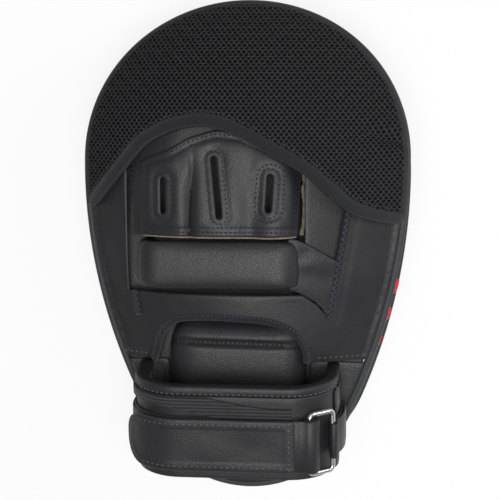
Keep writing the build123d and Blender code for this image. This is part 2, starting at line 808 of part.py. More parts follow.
# The tab lies doubled on its panel, and its end loops round the ring's outer bar.
keeper_low_offset = 2 * layer_gap + keeper_panel_thickness
keeper_start = flap_offset - keeper_width / 2
keeper_stop = flap_offset + keeper_width / 2
with BuildPart() as keeper_tab:
    add(cuff_arch(keeper_low_offset + 2 * keeper_thickness, keeper_start, keeper_stop))
    add(cuff_arch(keeper_low_offset, keeper_start - 5, keeper_stop + 5), mode=Mode.SUBTRACT)
    with BuildSketch(cuff_plane.offset(-pad_width)):
        tab_top = shoulder_point(4 * cuff_corner_radius, ring_keeper_angle - 2)
        Polygon((shoulder_x, shoulder_y), (tab_top.X, tab_top.Y), (tab_top.X, keeper_low),
                (shoulder_x, keeper_low), align=None)
    extrude(amount=2 * pad_width, mode=Mode.INTERSECT)
    add(bar_cylinder(keeper_bar, bar_room + keeper_thickness, keeper_start, keeper_stop))
    add(bar_cylinder(keeper_bar, bar_room, keeper_start - 5, keeper_stop + 5), mode=Mode.SUBTRACT)
write(keeper_tab, "keeper_tab")

bar_gap = (strap_bar - keeper_bar).length
ring_centre = (keeper_bar + strap_bar) * 0.5
ring_tilt = (strap_bar - keeper_bar).normalized()
ring_across = cuff_plane.x_dir * ring_tilt.X + cuff_plane.y_dir * ring_tilt.Y
ring_origin = (cuff_plane.origin + cuff_plane.x_dir * ring_centre.X + cuff_plane.y_dir * ring_centre.Y
               + cuff_along * flap_offset)
ring_plane = Plane(origin=ring_origin, x_dir=ring_across, z_dir=ring_across.cross(cuff_along))
with BuildSketch(ring_plane, mode=Mode.PRIVATE) as ring_loop:
    RectangleRounded(bar_gap, ring_length + 2 * ring_wire_radius, ring_corner_radius)
wire_path = ring_loop.sketch.face().outer_wire()
with BuildPart() as ring:
    with BuildSketch(Plane(origin=wire_path @ 0, z_dir=wire_path % 0)):
        Circle(ring_wire_radius)
    sweep(path=wire_path)
write(ring, "ring")

with BuildPart() as strap_fold:
    fold_start = flap_offset - fold_width / 2
    fold_stop = flap_offset + fold_width / 2
    add(bar_cylinder(strap_bar, bar_room + fold_thickness, fold_start, fold_stop))
    add(bar_cylinder(strap_bar, ring_wire_radius, fold_start - 5, fold_stop + 5), mode=Mode.SUBTRACT)
write(strap_fold, "strap_fold")

# The flap's root is hollowed about the ring's bar, so that it can turn there.
with BuildPart() as flap:
    add(cuff_arch(flap_low + flap_thickness, flap_start, flap_stop))
    add(cuff_arch(flap_low, flap_start - 5, flap_stop + 5), mode=Mode.SUBTRACT)
    with BuildSketch(cuff_map):
        with Locations((flap_left_x, flap_offset)):
            Rectangle(strap_bar.X - flap_left_x, flap_width, align=(Align.MIN, Align.CENTER))
        fillet(vertices().group_by(Axis.X)[0], flap_corner_radius)
    extrude(amount=-block_top, mode=Mode.INTERSECT)
    add(bar_cylinder(strap_bar, bar_room + fold_thickness + joint_gap, -pad_width, pad_width),
        mode=Mode.SUBTRACT)
write(flap, "flap")

with BuildPart() as hook_patch:
    add(cuff_arch(hook_low + hook_thickness, flap_start, flap_stop))
    add(cuff_arch(hook_low, flap_start - 5, flap_stop + 5), mode=Mode.SUBTRACT)
    with BuildSketch(cuff_map):
        with Locations((flap_left_x + hook_margin, flap_offset)):
            Rectangle(hook_right_x - flap_left_x - hook_margin, flap_width - 2 * hook_margin,
                      align=(Align.MIN, Align.CENTER))
        fillet(vertices().group_by(Axis.X)[0], flap_corner_radius - hook_margin)
    extrude(amount=-block_top, mode=Mode.INTERSECT)
write(hook_patch, "hook_patch")
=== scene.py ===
# %% [markdown]
# # A curved focus mitt, dressed
# A focus mitt is a padded target that a coach wears on one hand. The rigid frame of this one, with its
# sizes, bodies and hinges, comes ready made; this lesson gives every piece its real surface.
# The frame is loaded first.

# %% Load the frame
import math

import bpy
import numpy as np
from mathutils import Matrix, Vector
from mathutils.geometry import delaunay_2d_cdt


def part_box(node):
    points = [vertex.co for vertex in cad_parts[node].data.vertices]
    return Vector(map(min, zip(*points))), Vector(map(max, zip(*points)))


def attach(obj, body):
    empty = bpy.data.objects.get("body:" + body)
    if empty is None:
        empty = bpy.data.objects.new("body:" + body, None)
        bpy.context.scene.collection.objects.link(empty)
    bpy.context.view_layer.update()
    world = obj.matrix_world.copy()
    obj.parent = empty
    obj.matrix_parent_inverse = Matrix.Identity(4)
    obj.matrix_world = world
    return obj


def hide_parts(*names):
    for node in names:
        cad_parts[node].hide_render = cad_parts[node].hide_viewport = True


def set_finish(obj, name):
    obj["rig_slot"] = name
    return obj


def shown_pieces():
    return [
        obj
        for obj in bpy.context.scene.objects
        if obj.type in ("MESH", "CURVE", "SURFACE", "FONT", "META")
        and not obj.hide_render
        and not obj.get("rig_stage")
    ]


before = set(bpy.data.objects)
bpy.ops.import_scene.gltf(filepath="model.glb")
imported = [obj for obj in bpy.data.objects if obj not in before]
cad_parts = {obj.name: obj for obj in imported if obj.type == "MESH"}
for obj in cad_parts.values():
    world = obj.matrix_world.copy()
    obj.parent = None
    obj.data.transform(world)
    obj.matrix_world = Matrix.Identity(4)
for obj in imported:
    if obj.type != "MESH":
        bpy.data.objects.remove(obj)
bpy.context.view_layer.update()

# %% [markdown]
# ## The shapes that everything is sewn to
# The pad is bent like a barrel stave about an axis far below it. Its outline is an egg made of four arcs.
# Three more forms stand on it: the dome of the hand cover, the dome of the hood, and two arches, one over
# the fingers and one over the wrist. Each is a function from two cloth coordinates, in millimetres, to a
# place in space. Working in cloth coordinates keeps a weave or a seam the right size however it is bent.

# %% The bent pad
MM = 0.001
STRIKE_RADIUS = 520.0
back_low, back_high = [np.array(c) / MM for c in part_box("back_piping")]
PAD_LENGTH = back_high[1] - back_low[1]
PAD_WIDTH = back_high[0] - back_low[0]
BACK_RADIUS = STRIKE_RADIUS + 41.0
FLANK_RADIUS = 1.168 * PAD_LENGTH
TIP_ANGLE = math.asin(PAD_LENGTH / 2 / BACK_RADIUS)
AXIS_Z = -STRIKE_RADIUS * math.cos(TIP_ANGLE)


def height_at(y, radius=BACK_RADIUS):
    """Height of a bent surface above the floor."""
    return AXIS_Z + np.sqrt(np.maximum(radius**2 - np.asarray(y, float) ** 2, 1.0))


def egg_parts(z):
    """Radii and centres of the egg's arcs where the pad's side is at a height."""
    length = 2 * (np.asarray(z, float) - AXIS_Z) * math.tan(TIP_ANGLE)
    top_r = PAD_WIDTH / 2
    top_y = length / 2 - top_r
    side_x = FLANK_RADIUS - top_r
    reach = length - top_r
    tip_r = (FLANK_RADIUS**2 - side_x**2 - reach**2) / (2 * (FLANK_RADIUS - reach))
    tip_y = tip_r - length / 2
    return top_r, top_y, side_x, tip_r, tip_y


def half_width(y, inset=0.0):
    """Half the pad's width at its back, a distance in from the edge."""
    y = np.asarray(y, float)
    top_r, top_y, side_x, tip_r, tip_y = egg_parts(height_at(y))
    lean = np.arctan2(top_y - tip_y, side_x)
    join_y = top_y - FLANK_RADIUS * np.sin(lean)
    upper = np.sqrt(np.maximum((top_r - inset) ** 2 - (y - top_y) ** 2, 0))
    lower = np.sqrt(np.maximum((tip_r - inset) ** 2 - (y - tip_y) ** 2, 0))
    flank = np.sqrt(np.maximum((FLANK_RADIUS - inset) ** 2 - (y - top_y) ** 2, 0)) - side_x
    return np.where(y > top_y, upper, np.where(y < join_y, lower, flank))


def rim_loop(radius, inset, count=240):
    """The pad's outline on a bent surface, anticlockwise from the thumb side."""
    turn = np.arange(count) / count
    z = np.full(count, float(height_at(0.0, radius)))
    inset = np.broadcast_to(inset, (count,)).astype(float)
    for _ in range(6):
        top_r, top_y, side_x, tip_r, tip_y = egg_parts(z)
        lean = np.arctan2(top_y - tip_y, side_x)
        x, y = np.zeros(count), np.zeros(count)
        top = turn < 0.34
        a = turn / 0.34 * math.pi
        x[top], y[top] = ((top_r - inset) * np.cos(a))[top], (top_y + (top_r - inset) * np.sin(a))[top]
        left = (turn >= 0.34) & (turn < 0.57)
        a = (turn - 0.34) / 0.23 * lean
        x[left] = (side_x - (FLANK_RADIUS - inset) * np.cos(a))[left]
        y[left] = (top_y - (FLANK_RADIUS - inset) * np.sin(a))[left]
        low = (turn >= 0.57) & (turn < 0.77)
        a = math.pi + lean + (turn - 0.57) / 0.20 * (math.pi - 2 * lean)
        x[low], y[low] = ((tip_r - inset) * np.cos(a))[low], (tip_y + (tip_r - inset) * np.sin(a))[low]
        right = turn >= 0.77
        a = (1 - (turn - 0.77) / 0.23) * lean
        x[right] = ((FLANK_RADIUS - inset) * np.cos(a) - side_x)[right]
        y[right] = (top_y - (FLANK_RADIUS - inset) * np.sin(a))[right]
        z = height_at(y, radius)
    return np.stack([x, y, z], 1)


print("pad", round(PAD_LENGTH, 1), "by", round(PAD_WIDTH, 1), "mm; its back is", round(float(height_at(0)), 1),
      "mm up in the middle")

# %% The two domes
COVER = {"inset": 7.0, "rim": 1.2, "crown": 28.0}
HOOD = {"inset": 2.6, "rim": 2.0, "crown": 36.0}


def dome_height(x, y, inset, rim, crown, drop=0.0):
    """Height of a dome that meets the pad's outline and stands crown above it in the middle."""
    middle = float(half_width(0.0, inset))
    axis_z = height_at(0.0, BACK_RADIUS + rim) - (middle**2 - crown**2) / (2 * crown)
    radius = np.hypot(half_width(y, inset), height_at(y, BACK_RADIUS + rim) - axis_z) - drop
    return axis_z + np.sqrt(np.maximum(radius**2 - np.asarray(x, float) ** 2, 1.0))


def on_pad(lift):
    """The pad's back, or a layer above it, as a cloth."""
    def place(uv):
        return np.stack([uv[:, 0], uv[:, 1], height_at(uv[:, 1], BACK_RADIUS + lift)], 1)
    return place


def on_cover(lift):
    """The hand cover, which runs out flat on to the piping round its edge."""
    def place(uv):
        x, y = uv[:, 0], uv[:, 1]
        dome = dome_height(x, y, **COVER)
        flat = height_at(y, BACK_RADIUS + 1.4)
        blend = 1.6
        top = np.maximum(dome, flat) + blend * np.exp(-np.abs(dome - flat) / blend) * 0.35
        return np.stack([x, y, top + lift], 1)
    return place


def on_hood(lift):
    """The mesh hood, with the slack fold that it has above the thumb side of its edge."""
    def place(uv):
        x, y = uv[:, 0], uv[:, 1]
        z = dome_height(x, y, **HOOD) + lift
        across = (y - 63.0 + 0.32 * (x - 78.0)) / 5.0
        along = np.exp(-(((x - 82.0) / 15.0) ** 2))
        fold = along * (2.2 * np.exp(-((across - 0.9) ** 2)) - 2.6 * np.exp(-((across + 0.5) ** 2)))
        return np.stack([x, y, z + fold], 1)
    return place


print("hood stands", round(float(dome_height(0, 60, **HOOD) - height_at(60)), 1), "mm above the pad's back")

# %% The two arches
TUNNEL = {"left": -62.0, "right": 33.0, "height": 30.0, "corner": 18.0}
CUFF = {"left": -58.5, "right": 52.5, "height": 46.0, "corner": 26.0}
CUFF_Y = -88.0


def arch_profile(u, lift, left, right, height, corner):
    """Cross-section of an arch: u runs along it from the middle of its top."""
    half = (right - left) / 2
    side = np.where(u < 0, -1.0, 1.0)
    past = np.abs(u) - (half - corner)
    turn = np.clip(past / corner, 0, math.pi / 2)
    down = np.maximum(past - corner * math.pi / 2, 0)
    flat = np.minimum(np.abs(u), half - corner)
    x = (left + right) / 2 + side * (flat + (corner + lift) * np.sin(turn))
    h = height - corner + (corner + lift) * np.cos(turn) - down
    return x, h


def arch_u(x, left, right, height, corner):
    """Where on an arch a place seen from above lies."""
    offset = x - (left + right) / 2
    half = (right - left) / 2
    past = np.clip((abs(offset) - (half - corner)) / corner, 0, 1)
    return math.copysign(min(abs(offset), half - corner) + corner * math.asin(past), offset)


def on_tunnel(lift, shape=TUNNEL, relief=None):
    """An arch that follows the bend of the pad; v is the distance along the mitt."""
    def place(uv):
        extra = relief(uv) if relief else 0.0
        x, h = arch_profile(uv[:, 0], lift + extra, **shape)
        angle = np.arcsin(np.clip(uv[:, 1] / BACK_RADIUS, -1, 1))
        out = BACK_RADIUS + h
        return np.stack([x, out * np.sin(angle), AXIS_Z + out * np.cos(angle)], 1)
    return place


cuff_angle = math.asin(CUFF_Y / BACK_RADIUS)
CUFF_OUT = np.array([0.0, math.sin(cuff_angle), math.cos(cuff_angle)])
CUFF_ALONG = np.array([0.0, -math.cos(cuff_angle), math.sin(cuff_angle)])
CUFF_FOOT = np.array([0.0, 0.0, AXIS_Z]) + BACK_RADIUS * CUFF_OUT


def cuff_place(x, h, t):
    """A place from the cuff's own cross-section and the distance along the wrist."""
    x, h, t = np.broadcast_arrays(np.asarray(x, float), h, t)
    return CUFF_FOOT + x[..., None] * np.array([1.0, 0, 0]) + h[..., None] * CUFF_OUT + t[..., None] * CUFF_ALONG


def on_cuff(lift, relief=None):
    """The cuff's arch; v runs towards the fingers, from the cuff's own middle."""
    def place(uv):
        extra = relief(uv) if relief else 0.0
        x, h = arch_profile(uv[:, 0], lift + extra, **CUFF)
        return cuff_place(x, h, -uv[:, 1])
    return place


print("cuff top at", np.round(cuff_place(-3, 46, 0), 1))

# %% [markdown]
# ## Making a piece of leather or cloth
# A sewn piece is a flat shape cut from a sheet, laid on a form. The cut outline is filled with triangles of
# an even size, the points are carried to the form, and the piece gets a thickness that rounds off at its
# edges. A closed solid is used, not a single surface, so that edges show their thickness and nothing is
# open. Two attributes travel with each point: its cloth coordinates, and how far it is from the cut edge.

# %% Filling a cut outline
def closed_points(outline, gap):
    """Points along a closed outline, at most a gap apart."""
    outline = np.asarray(outline, float)
    points = []
    for start, stop in zip(outline, np.roll(outline, -1, 0)):
        steps = max(1, int(math.ceil(np.linalg.norm(stop - start) / gap)))
        points.extend(start + (stop - start) * i / steps for i in range(steps))
    return np.array(points)


def edge_distance(points, loops):
    """Distance from each point to the nearest cut edge."""
    best = np.full(len(points), 1e9)
    for loop in loops:
        start, step = loop, np.roll(loop, -1, 0) - loop
        length = np.maximum((step**2).sum(1), 1e-9)
        for i in range(0, len(points), 2000):
            p = points[i : i + 2000, None, :]
            t = np.clip(((p - start) * step).sum(2) / length, 0, 1)
            gap = np.linalg.norm(p - start - t[..., None] * step, axis=2).min(1)
            best[i : i + 2000] = np.minimum(best[i : i + 2000], gap)
    return best


def inside(points, loops):
    """Which points lie on the cloth: within the outline and outside the holes."""
    odd = np.zeros(len(points), bool)
    x, y = points[:, 0], points[:, 1]
    for loop in loops:
        for (x0, y0), (x1, y1) in zip(loop, np.roll(loop, -1, 0)):
            if y0 != y1:
                cross = ((y0 > y) != (y1 > y)) & (x < (x1 - x0) * (y - y0) / (y1 - y0) + x0)
                odd ^= cross
    return odd


def fill(outline, holes, gap, edge):
    """Even triangles over a cut shape, with closer rows along its edges."""
    loops = [closed_points(o, gap) for o in [outline, *holes]]
    rows = [np.zeros((0, 2))]
    for loop in loops:
        along = np.roll(loop, -1, 0) - np.roll(loop, 1, 0)
        along /= np.maximum(np.linalg.norm(along, axis=1), 1e-9)[:, None]
        inward = np.stack([-along[:, 1], along[:, 0]], 1)
        for share in (0.3, 1.0):
            for sign in (1, -1):
                row = loop + sign * share * edge * inward
                keep = inside(row, loops) & (edge_distance(row, loops) > 0.9 * share * edge)
                rows.append(row[keep])
    low, high = loops[0].min(0), loops[0].max(0)
    nu, nv = int((high[0] - low[0]) / gap) + 2, int((high[1] - low[1]) / (gap * 0.87)) + 2
    i, j = np.meshgrid(np.arange(nu), np.arange(nv))
    grid = np.stack([low[0] + (i + 0.5 * (j % 2)) * gap, low[1] + j * gap * 0.87], 2).reshape(-1, 2)
    grid = grid[inside(grid, loops)]
    grid = grid[edge_distance(grid, loops) > edge + 0.5 * gap]
    points = np.concatenate(loops + rows + [grid])
    edges, start = [], 0
    for loop in loops:
        edges += [(start + k, start + (k + 1) % len(loop)) for k in range(len(loop))]
        start += len(loop)
    made = delaunay_2d_cdt([Vector(p) for p in points], edges, [], 0, 1e-6)
    uv = np.array([tuple(v) for v in made[0]])
    faces = np.array(made[2])
    faces = faces[inside(uv[faces].mean(1), loops)]
    used = np.unique(faces)
    index = np.full(len(uv), -1)
    index[used] = np.arange(len(used))
    uv, faces = uv[used], index[faces]
    flip = np.cross(uv[faces[:, 1]] - uv[faces[:, 0]], uv[faces[:, 2]] - uv[faces[:, 0]]) < 0
    faces[flip] = faces[flip][:, ::-1]
    return uv, faces, edge_distance(uv, loops)


# %% Turning it into an object
def surface_normals(place, uv, step=0.05):
    """Outward direction of a form at cloth coordinates."""
    du = place(uv + [step, 0]) - place(uv - [step, 0])
    dv = place(uv + [0, step]) - place(uv - [0, step])
    normal = np.cross(du, dv)
    return normal / np.maximum(np.linalg.norm(normal, axis=1), 1e-12)[:, None]


def make_object(name, points, faces, body, slot, stands_for=(), cloth=None, edge=None, smooth=True):
    """A mesh from millimetres, dressed with its attributes and hung on its body."""
    mesh = bpy.data.meshes.new(name)
    mesh.from_pydata((np.asarray(points) * MM).tolist(), [], [list(map(int, f)) for f in faces])
    if cloth is not None:
        attribute = mesh.attributes.new("cloth", "FLOAT_VECTOR", "POINT")
        attribute.data.foreach_set("vector", np.asarray(cloth, np.float32).ravel())
    if edge is not None:
        attribute = mesh.attributes.new("edge", "FLOAT", "POINT")
        attribute.data.foreach_set("value", np.asarray(edge, np.float32))
    mesh.polygons.foreach_set("use_smooth", [smooth] * len(mesh.polygons))
    mesh.update()
    made = bpy.data.objects.new(name, mesh)
    bpy.context.scene.collection.objects.link(made)
    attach(made, body)
    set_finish(made, slot)
    if stands_for:
        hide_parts(*stands_for)
    return made


def panel(name, outline, place, thickness, slot, stands_for=(), holes=(), gap=2.0, edge=1.0, body="mitt",
          relief=None, both_sides=False):
    """A sewn piece: a cut shape laid on a form, with a rounded edge."""
    uv, faces, distance = fill(outline, list(holes), gap, edge)
    base, normal = place(uv), surface_normals(place, uv)
    nearness = np.clip(distance / edge, 0, 1)
    swell = np.sqrt(np.maximum(1 - (1 - nearness) ** 2, 0))
    extra = (relief(uv, distance) if relief else 0.0) * swell
    top = base + normal * (thickness / 2 * (1 + swell) + extra)[:, None]
    low = base + normal * (thickness / 2 * (1 - swell) + (extra if both_sides else 0.0))[:, None]
    rim = distance < 1e-4
    count = len(uv)
    partner = np.arange(count) + count
    partner[rim] = np.arange(count)[rim]
    points = np.concatenate([top, low])
    index = np.full(2 * count, -1)
    used = np.unique(np.concatenate([np.arange(count), partner]))
    index[used] = np.arange(len(used))
    under = partner[faces][:, ::-1]
    all_faces = index[np.concatenate([faces, under])]
    cloth = np.concatenate([np.column_stack([uv, np.zeros(count)])] * 2)
    made = make_object(name, points[used], all_faces, body, slot, stands_for, cloth[used],
                       np.concatenate([distance] * 2)[used])
    print(name, len(used), "points")
    return made


# %% [markdown]
# ## Piping, bindings and bands
# A binding or a piping is the same small cross-section carried along an edge. Sweeping the section by hand
# keeps its flat side on the leather, which a curve with a bevel doesn't do on a bent form.

# %% A swept section
def sweep(name, path, normals, section, slot, stands_for=(), body="mitt", closed=False, caps=True):
    """A closed cross-section (across, up) carried along a path of points with their normals."""
    path, normals = np.asarray(path, float), np.asarray(normals, float)
    ahead = np.roll(path, -1, 0) - np.roll(path, 1, 0)
    if not closed:
        ahead[0], ahead[-1] = path[1] - path[0], path[-1] - path[-2]
    ahead /= np.linalg.norm(ahead, axis=1)[:, None]
    across = np.cross(ahead, normals)
    across /= np.linalg.norm(across, axis=1)[:, None]
    up = np.cross(across, ahead)
    section = np.asarray(section, float)
    n, m = len(path), len(section)
    points = (path[:, None] + section[None, :, :1] * across[:, None] + section[None, :, 1:] * up[:, None])
    faces = []
    for i in range(n if closed else n - 1):
        a, b = i * m, ((i + 1) % n) * m
        faces += [(a + k, a + (k + 1) % m, b + (k + 1) % m, b + k) for k in range(m)]
    if not closed and caps:
        faces += [tuple(range(m - 1, -1, -1)), tuple((n - 1) * m + k for k in range(m))]
    step = np.linalg.norm(np.diff(path, axis=0, prepend=path[:1]), axis=1).cumsum()
    around = np.linalg.norm(np.diff(section, axis=0, prepend=section[:1]), axis=1).cumsum()
    cloth = np.stack([np.repeat(step, m), np.tile(around, n), np.zeros(n * m)], 1)
    made = make_object(name, points.reshape(-1, 3), faces, body, slot, stands_for, cloth,
                       np.full(n * m, 5.0))
    print(name, n * m, "points")
    return made


def half_round(width, height, count=9, sunk=0.4):
    """Section of a tape: flat below, crowned on top."""
    a = np.linspace(0, math.pi, count)
    top = np.stack([-width / 2 * np.cos(a), height * np.sin(a) ** 0.7], 1)
    return np.concatenate([top[::-1], [[-width / 2 * 0.96, -sunk], [width / 2 * 0.96, -sunk]]])


def round_section(radius, count=12):
    """Section of a piping."""
    a = np.arange(count) / count * 2 * math.pi
    return radius * np.stack([np.cos(a), np.sin(a)], 1)


def line_on(place, points, gap=1.6, lift=0.0, closed=False):
    """A path on a form: points every gap along cloth coordinates, with their normals."""
    points = np.asarray(points, float)
    if closed:
        uv = closed_points(points, gap)
    else:
        parts = [points[:1]]
        for start, stop in zip(points[:-1], points[1:]):
            steps = max(1, int(math.ceil(np.linalg.norm(stop - start) / gap)))
            parts.append(start + (stop - start) * np.arange(1, steps + 1)[:, None] / steps)
        uv = np.concatenate(parts)
    normals = surface_normals(place, uv)
    return place(uv) + normals * lift, normals


def smooth_line(points, count=60, closed=False):
    """A smooth curve through a few points, by Catmull-Rom."""
    p = np.asarray(points, float)
    before, after = (p[-1:], p[:2]) if closed else (2 * p[:1] - p[1:2], 2 * p[-1:] - p[-2:-1])
    p = np.concatenate([before, p, after])
    spans = len(p) - 3
    t = np.linspace(0, spans, count, endpoint=not closed)
    k = np.minimum(t.astype(int), spans - 1)
    f = (t - k)[:, None]
    a, b, c, d = p[k], p[k + 1], p[k + 2], p[k + 3]
    return 0.5 * (2 * b + (c - a) * f + (2 * a - 5 * b + 4 * c - d) * f**2 + (3 * b - a - 3 * c + d) * f**3)


# %% [markdown]
# ## Thread
# Every seam on the mitt shows its thread, as short stitches that dip into the leather at both ends. Each
# stitch is its own small bead of thread, bent down at its ends, and a row of them is one piece.

# %% Rows of stitches
STITCH_PITCH = 2.5
stitch_groups = {}


def stitch(group, place, points, pitch=STITCH_PITCH, length=1.7, radius=0.38, lift=0.0, closed=False,
           cross=0.0):
    """Adds a row of stitches along a line on a form to a named group."""
    path, normals = line_on(place, points, 0.5, lift, closed)
    if closed:
        path, normals = np.concatenate([path, path[:1]]), np.concatenate([normals, normals[:1]])
    run = np.linalg.norm(np.diff(path, axis=0), axis=1)
    far = np.concatenate([[0], run.cumsum()])
    count = max(1, int(far[-1] / pitch))
    at = (np.arange(count) + 0.5) * far[-1] / count
    centre = np.stack([np.interp(at, far, path[:, i]) for i in range(3)], 1)
    ahead = np.stack([np.interp(at + 0.3, far, path[:, i]) - np.interp(at - 0.3, far, path[:, i])
                      for i in range(3)], 1)
    up = np.stack([np.interp(at, far, normals[:, i]) for i in range(3)], 1)
    ahead /= np.maximum(np.linalg.norm(ahead, axis=1), 1e-9)[:, None]
    up -= (up * ahead).sum(1)[:, None] * ahead
    up /= np.linalg.norm(up, axis=1)[:, None]
    side = np.cross(ahead, up)
    if cross:
        turn = np.where(np.arange(count) % 2, cross, -cross)[:, None]
        ahead, side = ahead * np.cos(turn) + side * np.sin(turn), side * np.cos(turn) - ahead * np.sin(turn)
    stitch_groups.setdefault(group, []).append((centre, ahead, side, up, length, radius))


def sew(group, slot, body="mitt", stands_for=()):
    """Turns a group of rows into one piece of thread."""
    stations = np.array([-0.5, -0.34, 0.0, 0.34, 0.5])
    fat = np.array([0.45, 0.9, 1.0, 0.9, 0.45])
    rise = np.array([-1.3, -0.2, 0.25, -0.2, -1.3])
    angle = np.arange(6) / 6 * 2 * math.pi
    points, faces, cloth, start = [], [], [], 0
    ring = [(r * 6 + k, r * 6 + (k + 1) % 6, r * 6 + 6 + (k + 1) % 6, r * 6 + 6 + k)
            for r in range(4) for k in range(6)]
    ring = ring + [(5, 4, 3, 2, 1, 0), (24, 25, 26, 27, 28, 29)]
    for centre, ahead, side, up, length, radius in stitch_groups[group]:
        count = len(centre)
        body_line = (centre[:, None] + stations[None, :, None] * length * ahead[:, None]
                     + (rise * radius)[None, :, None] * up[:, None])
        around = (np.cos(angle)[None, None, :, None] * side[:, None, None]
                  + np.sin(angle)[None, None, :, None] * up[:, None, None])
        beads = body_line[:, :, None] + around * (fat * radius)[None, :, None, None]
        points.append(beads.reshape(-1, 3))
        twist = np.stack(np.broadcast_arrays(stations[:, None] * length, angle[None, :] * radius, 0.0), -1)
        cloth.append(np.tile(twist.reshape(-1, 3), (count, 1)))
        for k in range(count):
            faces += [tuple(start + 30 * k + i for i in f) for f in ring]
        start += 30 * count
    made = make_object(group, np.concatenate(points), faces, body, slot, stands_for, np.concatenate(cloth),
                       np.full(start, 5.0))
    print(group, start // 30, "stitches")
    return made


# %% [markdown]
# ## Outlines cut to the pad's edge
# Several pieces run out to the pad's rim and are cut across inside it. A small kit makes such outlines:
# corners rounded with true arcs, and the stretch of the rim that lies on the wanted side of a cut.

# %% Rounded corners and stretches of rim
def rounded(points, radii, closed=True):
    """An outline whose corners are arcs of the given radii."""
    points = [np.array(p, float) for p in points]
    radii = [radii] * len(points) if np.isscalar(radii) else radii
    line = []
    for i, (corner, r) in enumerate(zip(points, radii)):
        if r == 0 or (not closed and i in (0, len(points) - 1)):
            line.append(corner)
            continue
        before, after = points[i - 1] - corner, points[(i + 1) % len(points)] - corner
        before, after = before / np.linalg.norm(before), after / np.linalg.norm(after)
        half = math.acos(np.clip(before @ after, -1, 1)) / 2
        centre = corner + (before + after) / np.linalg.norm(before + after) * r / math.sin(half)
        a = corner + before * r / math.tan(half) - centre
        b = corner + after * r / math.tan(half) - centre
        a0, a1 = math.atan2(a[1], a[0]), math.atan2(b[1], b[0])
        a1 = a0 + (a1 - a0 + math.pi) % (2 * math.pi) - math.pi
        for t in np.linspace(a0, a1, max(3, int(abs(a1 - a0) * 5) + 2)):
            line.append(centre + r * np.array([math.cos(t), math.sin(t)]))
    return np.array(line)


def rim_stretch(inset, keep, count=720):
    """The stretch of the pad's outline where keep(xy) holds, anticlockwise."""
    loop = rim_loop(BACK_RADIUS, inset, count)[:, :2]
    wanted = keep(loop)
    start = int(np.flatnonzero(wanted & ~np.roll(wanted, 1))[0])
    loop, wanted = np.roll(loop, -start, 0), np.roll(wanted, -start)
    return loop[: int(np.flatnonzero(~wanted)[0])]


def slot_shape(centre, length, width, lean):
    """A round-ended slot, as an outline."""
    a = np.linspace(0, math.pi, 7)
    r = width / 2
    end = np.stack([r * np.cos(a), length / 2 - r + r * np.sin(a)], 1)
    loop = np.concatenate([end, -end])
    c, s = math.cos(math.radians(lean)), math.sin(math.radians(lean))
    return loop @ np.array([[c, s], [-s, c]]) + centre


HOOD_EDGE = smooth_line([
    (-104, 6), (-95, 17), (-85.9, 27.4), (-66.6, 48.5), (-54.3, 61.5), (-42.6, 68.4), (-31.2, 72.2),
    (-20.1, 73.4), (-9.1, 71.9), (1.7, 67.5), (12.4, 61.9), (33.4, 49.8), (43.8, 41.7), (54.3, 32.2),
    (59.5, 27.8), (67.4, 24.0), (75.3, 21.4), (86.0, 19.2), (96.0, 16.0), (104.0, 13.0)], 220)
print("hood edge runs through", np.round(HOOD_EDGE[len(HOOD_EDGE) // 2], 1))

# %% [markdown]
# ## The pad
# The pad is a sandwich of three foams between two leather faces, closed round the edge by a wall. Each
# layer is one bent sheet with a full thickness. The layers are hidden, but they are real pieces, so each is
# made from the same bent form as the faces.

# %% Foams and faces
def on_layer(radius, under=False):
    """A layer of the pad; under turns it over, so that its outside is the side that strikes."""
    def place(uv):
        angle = np.arcsin(uv[:, 1] / BACK_RADIUS)
        x = -uv[:, 0] if under else uv[:, 0]
        return np.stack([x, radius * np.sin(angle), AXIS_Z + radius * np.cos(angle)], 1)
    return place


def pad_layer(name, low, high, inset, slot, gap=6.0, edge=2.0):
    """One layer of the pad, between two distances from the bend axis."""
    return panel(name, rim_loop(BACK_RADIUS, inset, 160)[:, :2], on_layer(low), high - low, slot,
                 (name.removesuffix("_piece"),), gap=gap, edge=edge)


CORE_INSET = 3.6
PIPED_INSET = CORE_INSET + 4.2  # a foam that lies inside a piping
impact_foam = pad_layer("impact_foam_piece", 521.8, 533.8, PIPED_INSET, "gel_foam")
core_foam = pad_layer("core_foam_piece", 534.0, 552.0, CORE_INSET, "core_foam")
soft_foam = pad_layer("soft_foam_piece", 552.2, 559.2, PIPED_INSET, "soft_foam")
pad_layer("back_cover_piece", 559.4, 561.0, 4.4, "black_leather", gap=4.0, edge=1.0)


def strike_relief(uv, distance):
    """The struck face: shallow rings pressed by stitching, and a few slack places near the edge."""
    r = np.hypot(uv[:, 0], uv[:, 1] - 18.0)
    rings = sum(-0.7 * np.exp(-(((r - ring) / 1.3) ** 2)) for ring in (24.0, 52.0))
    slack = 0.25 * np.sin(uv[:, 0] * 0.21 + 1.3 * np.sin(uv[:, 1] * 0.07)) * np.exp(-distance / 9.0)
    return rings + slack


panel("strike_face", rim_loop(BACK_RADIUS, 4.0, 240)[:, :2], on_layer(521.4, under=True), 1.4,
      "black_leather", ("strike_cover",), gap=2.6, edge=1.0, relief=strike_relief)


# %% Piping and side walls
def rim_path(radius, inset, count=300, keep=None):
    """Points round the pad on a bent surface with their outward normals."""
    path = rim_loop(radius, inset, count)
    normals = path - np.array([0, 0, AXIS_Z])
    normals[:, 0] = 0
    normals /= np.linalg.norm(normals, axis=1)[:, None]
    if keep is not None:
        wanted = keep(path)
        start = int(np.flatnonzero(wanted & ~np.roll(wanted, 1))[0])
        wanted = np.roll(wanted, -start)
        stop = int(np.flatnonzero(~wanted)[0])
        path, normals = np.roll(path, -start, 0)[:stop], np.roll(normals, -start, 0)[:stop]
    return path, normals


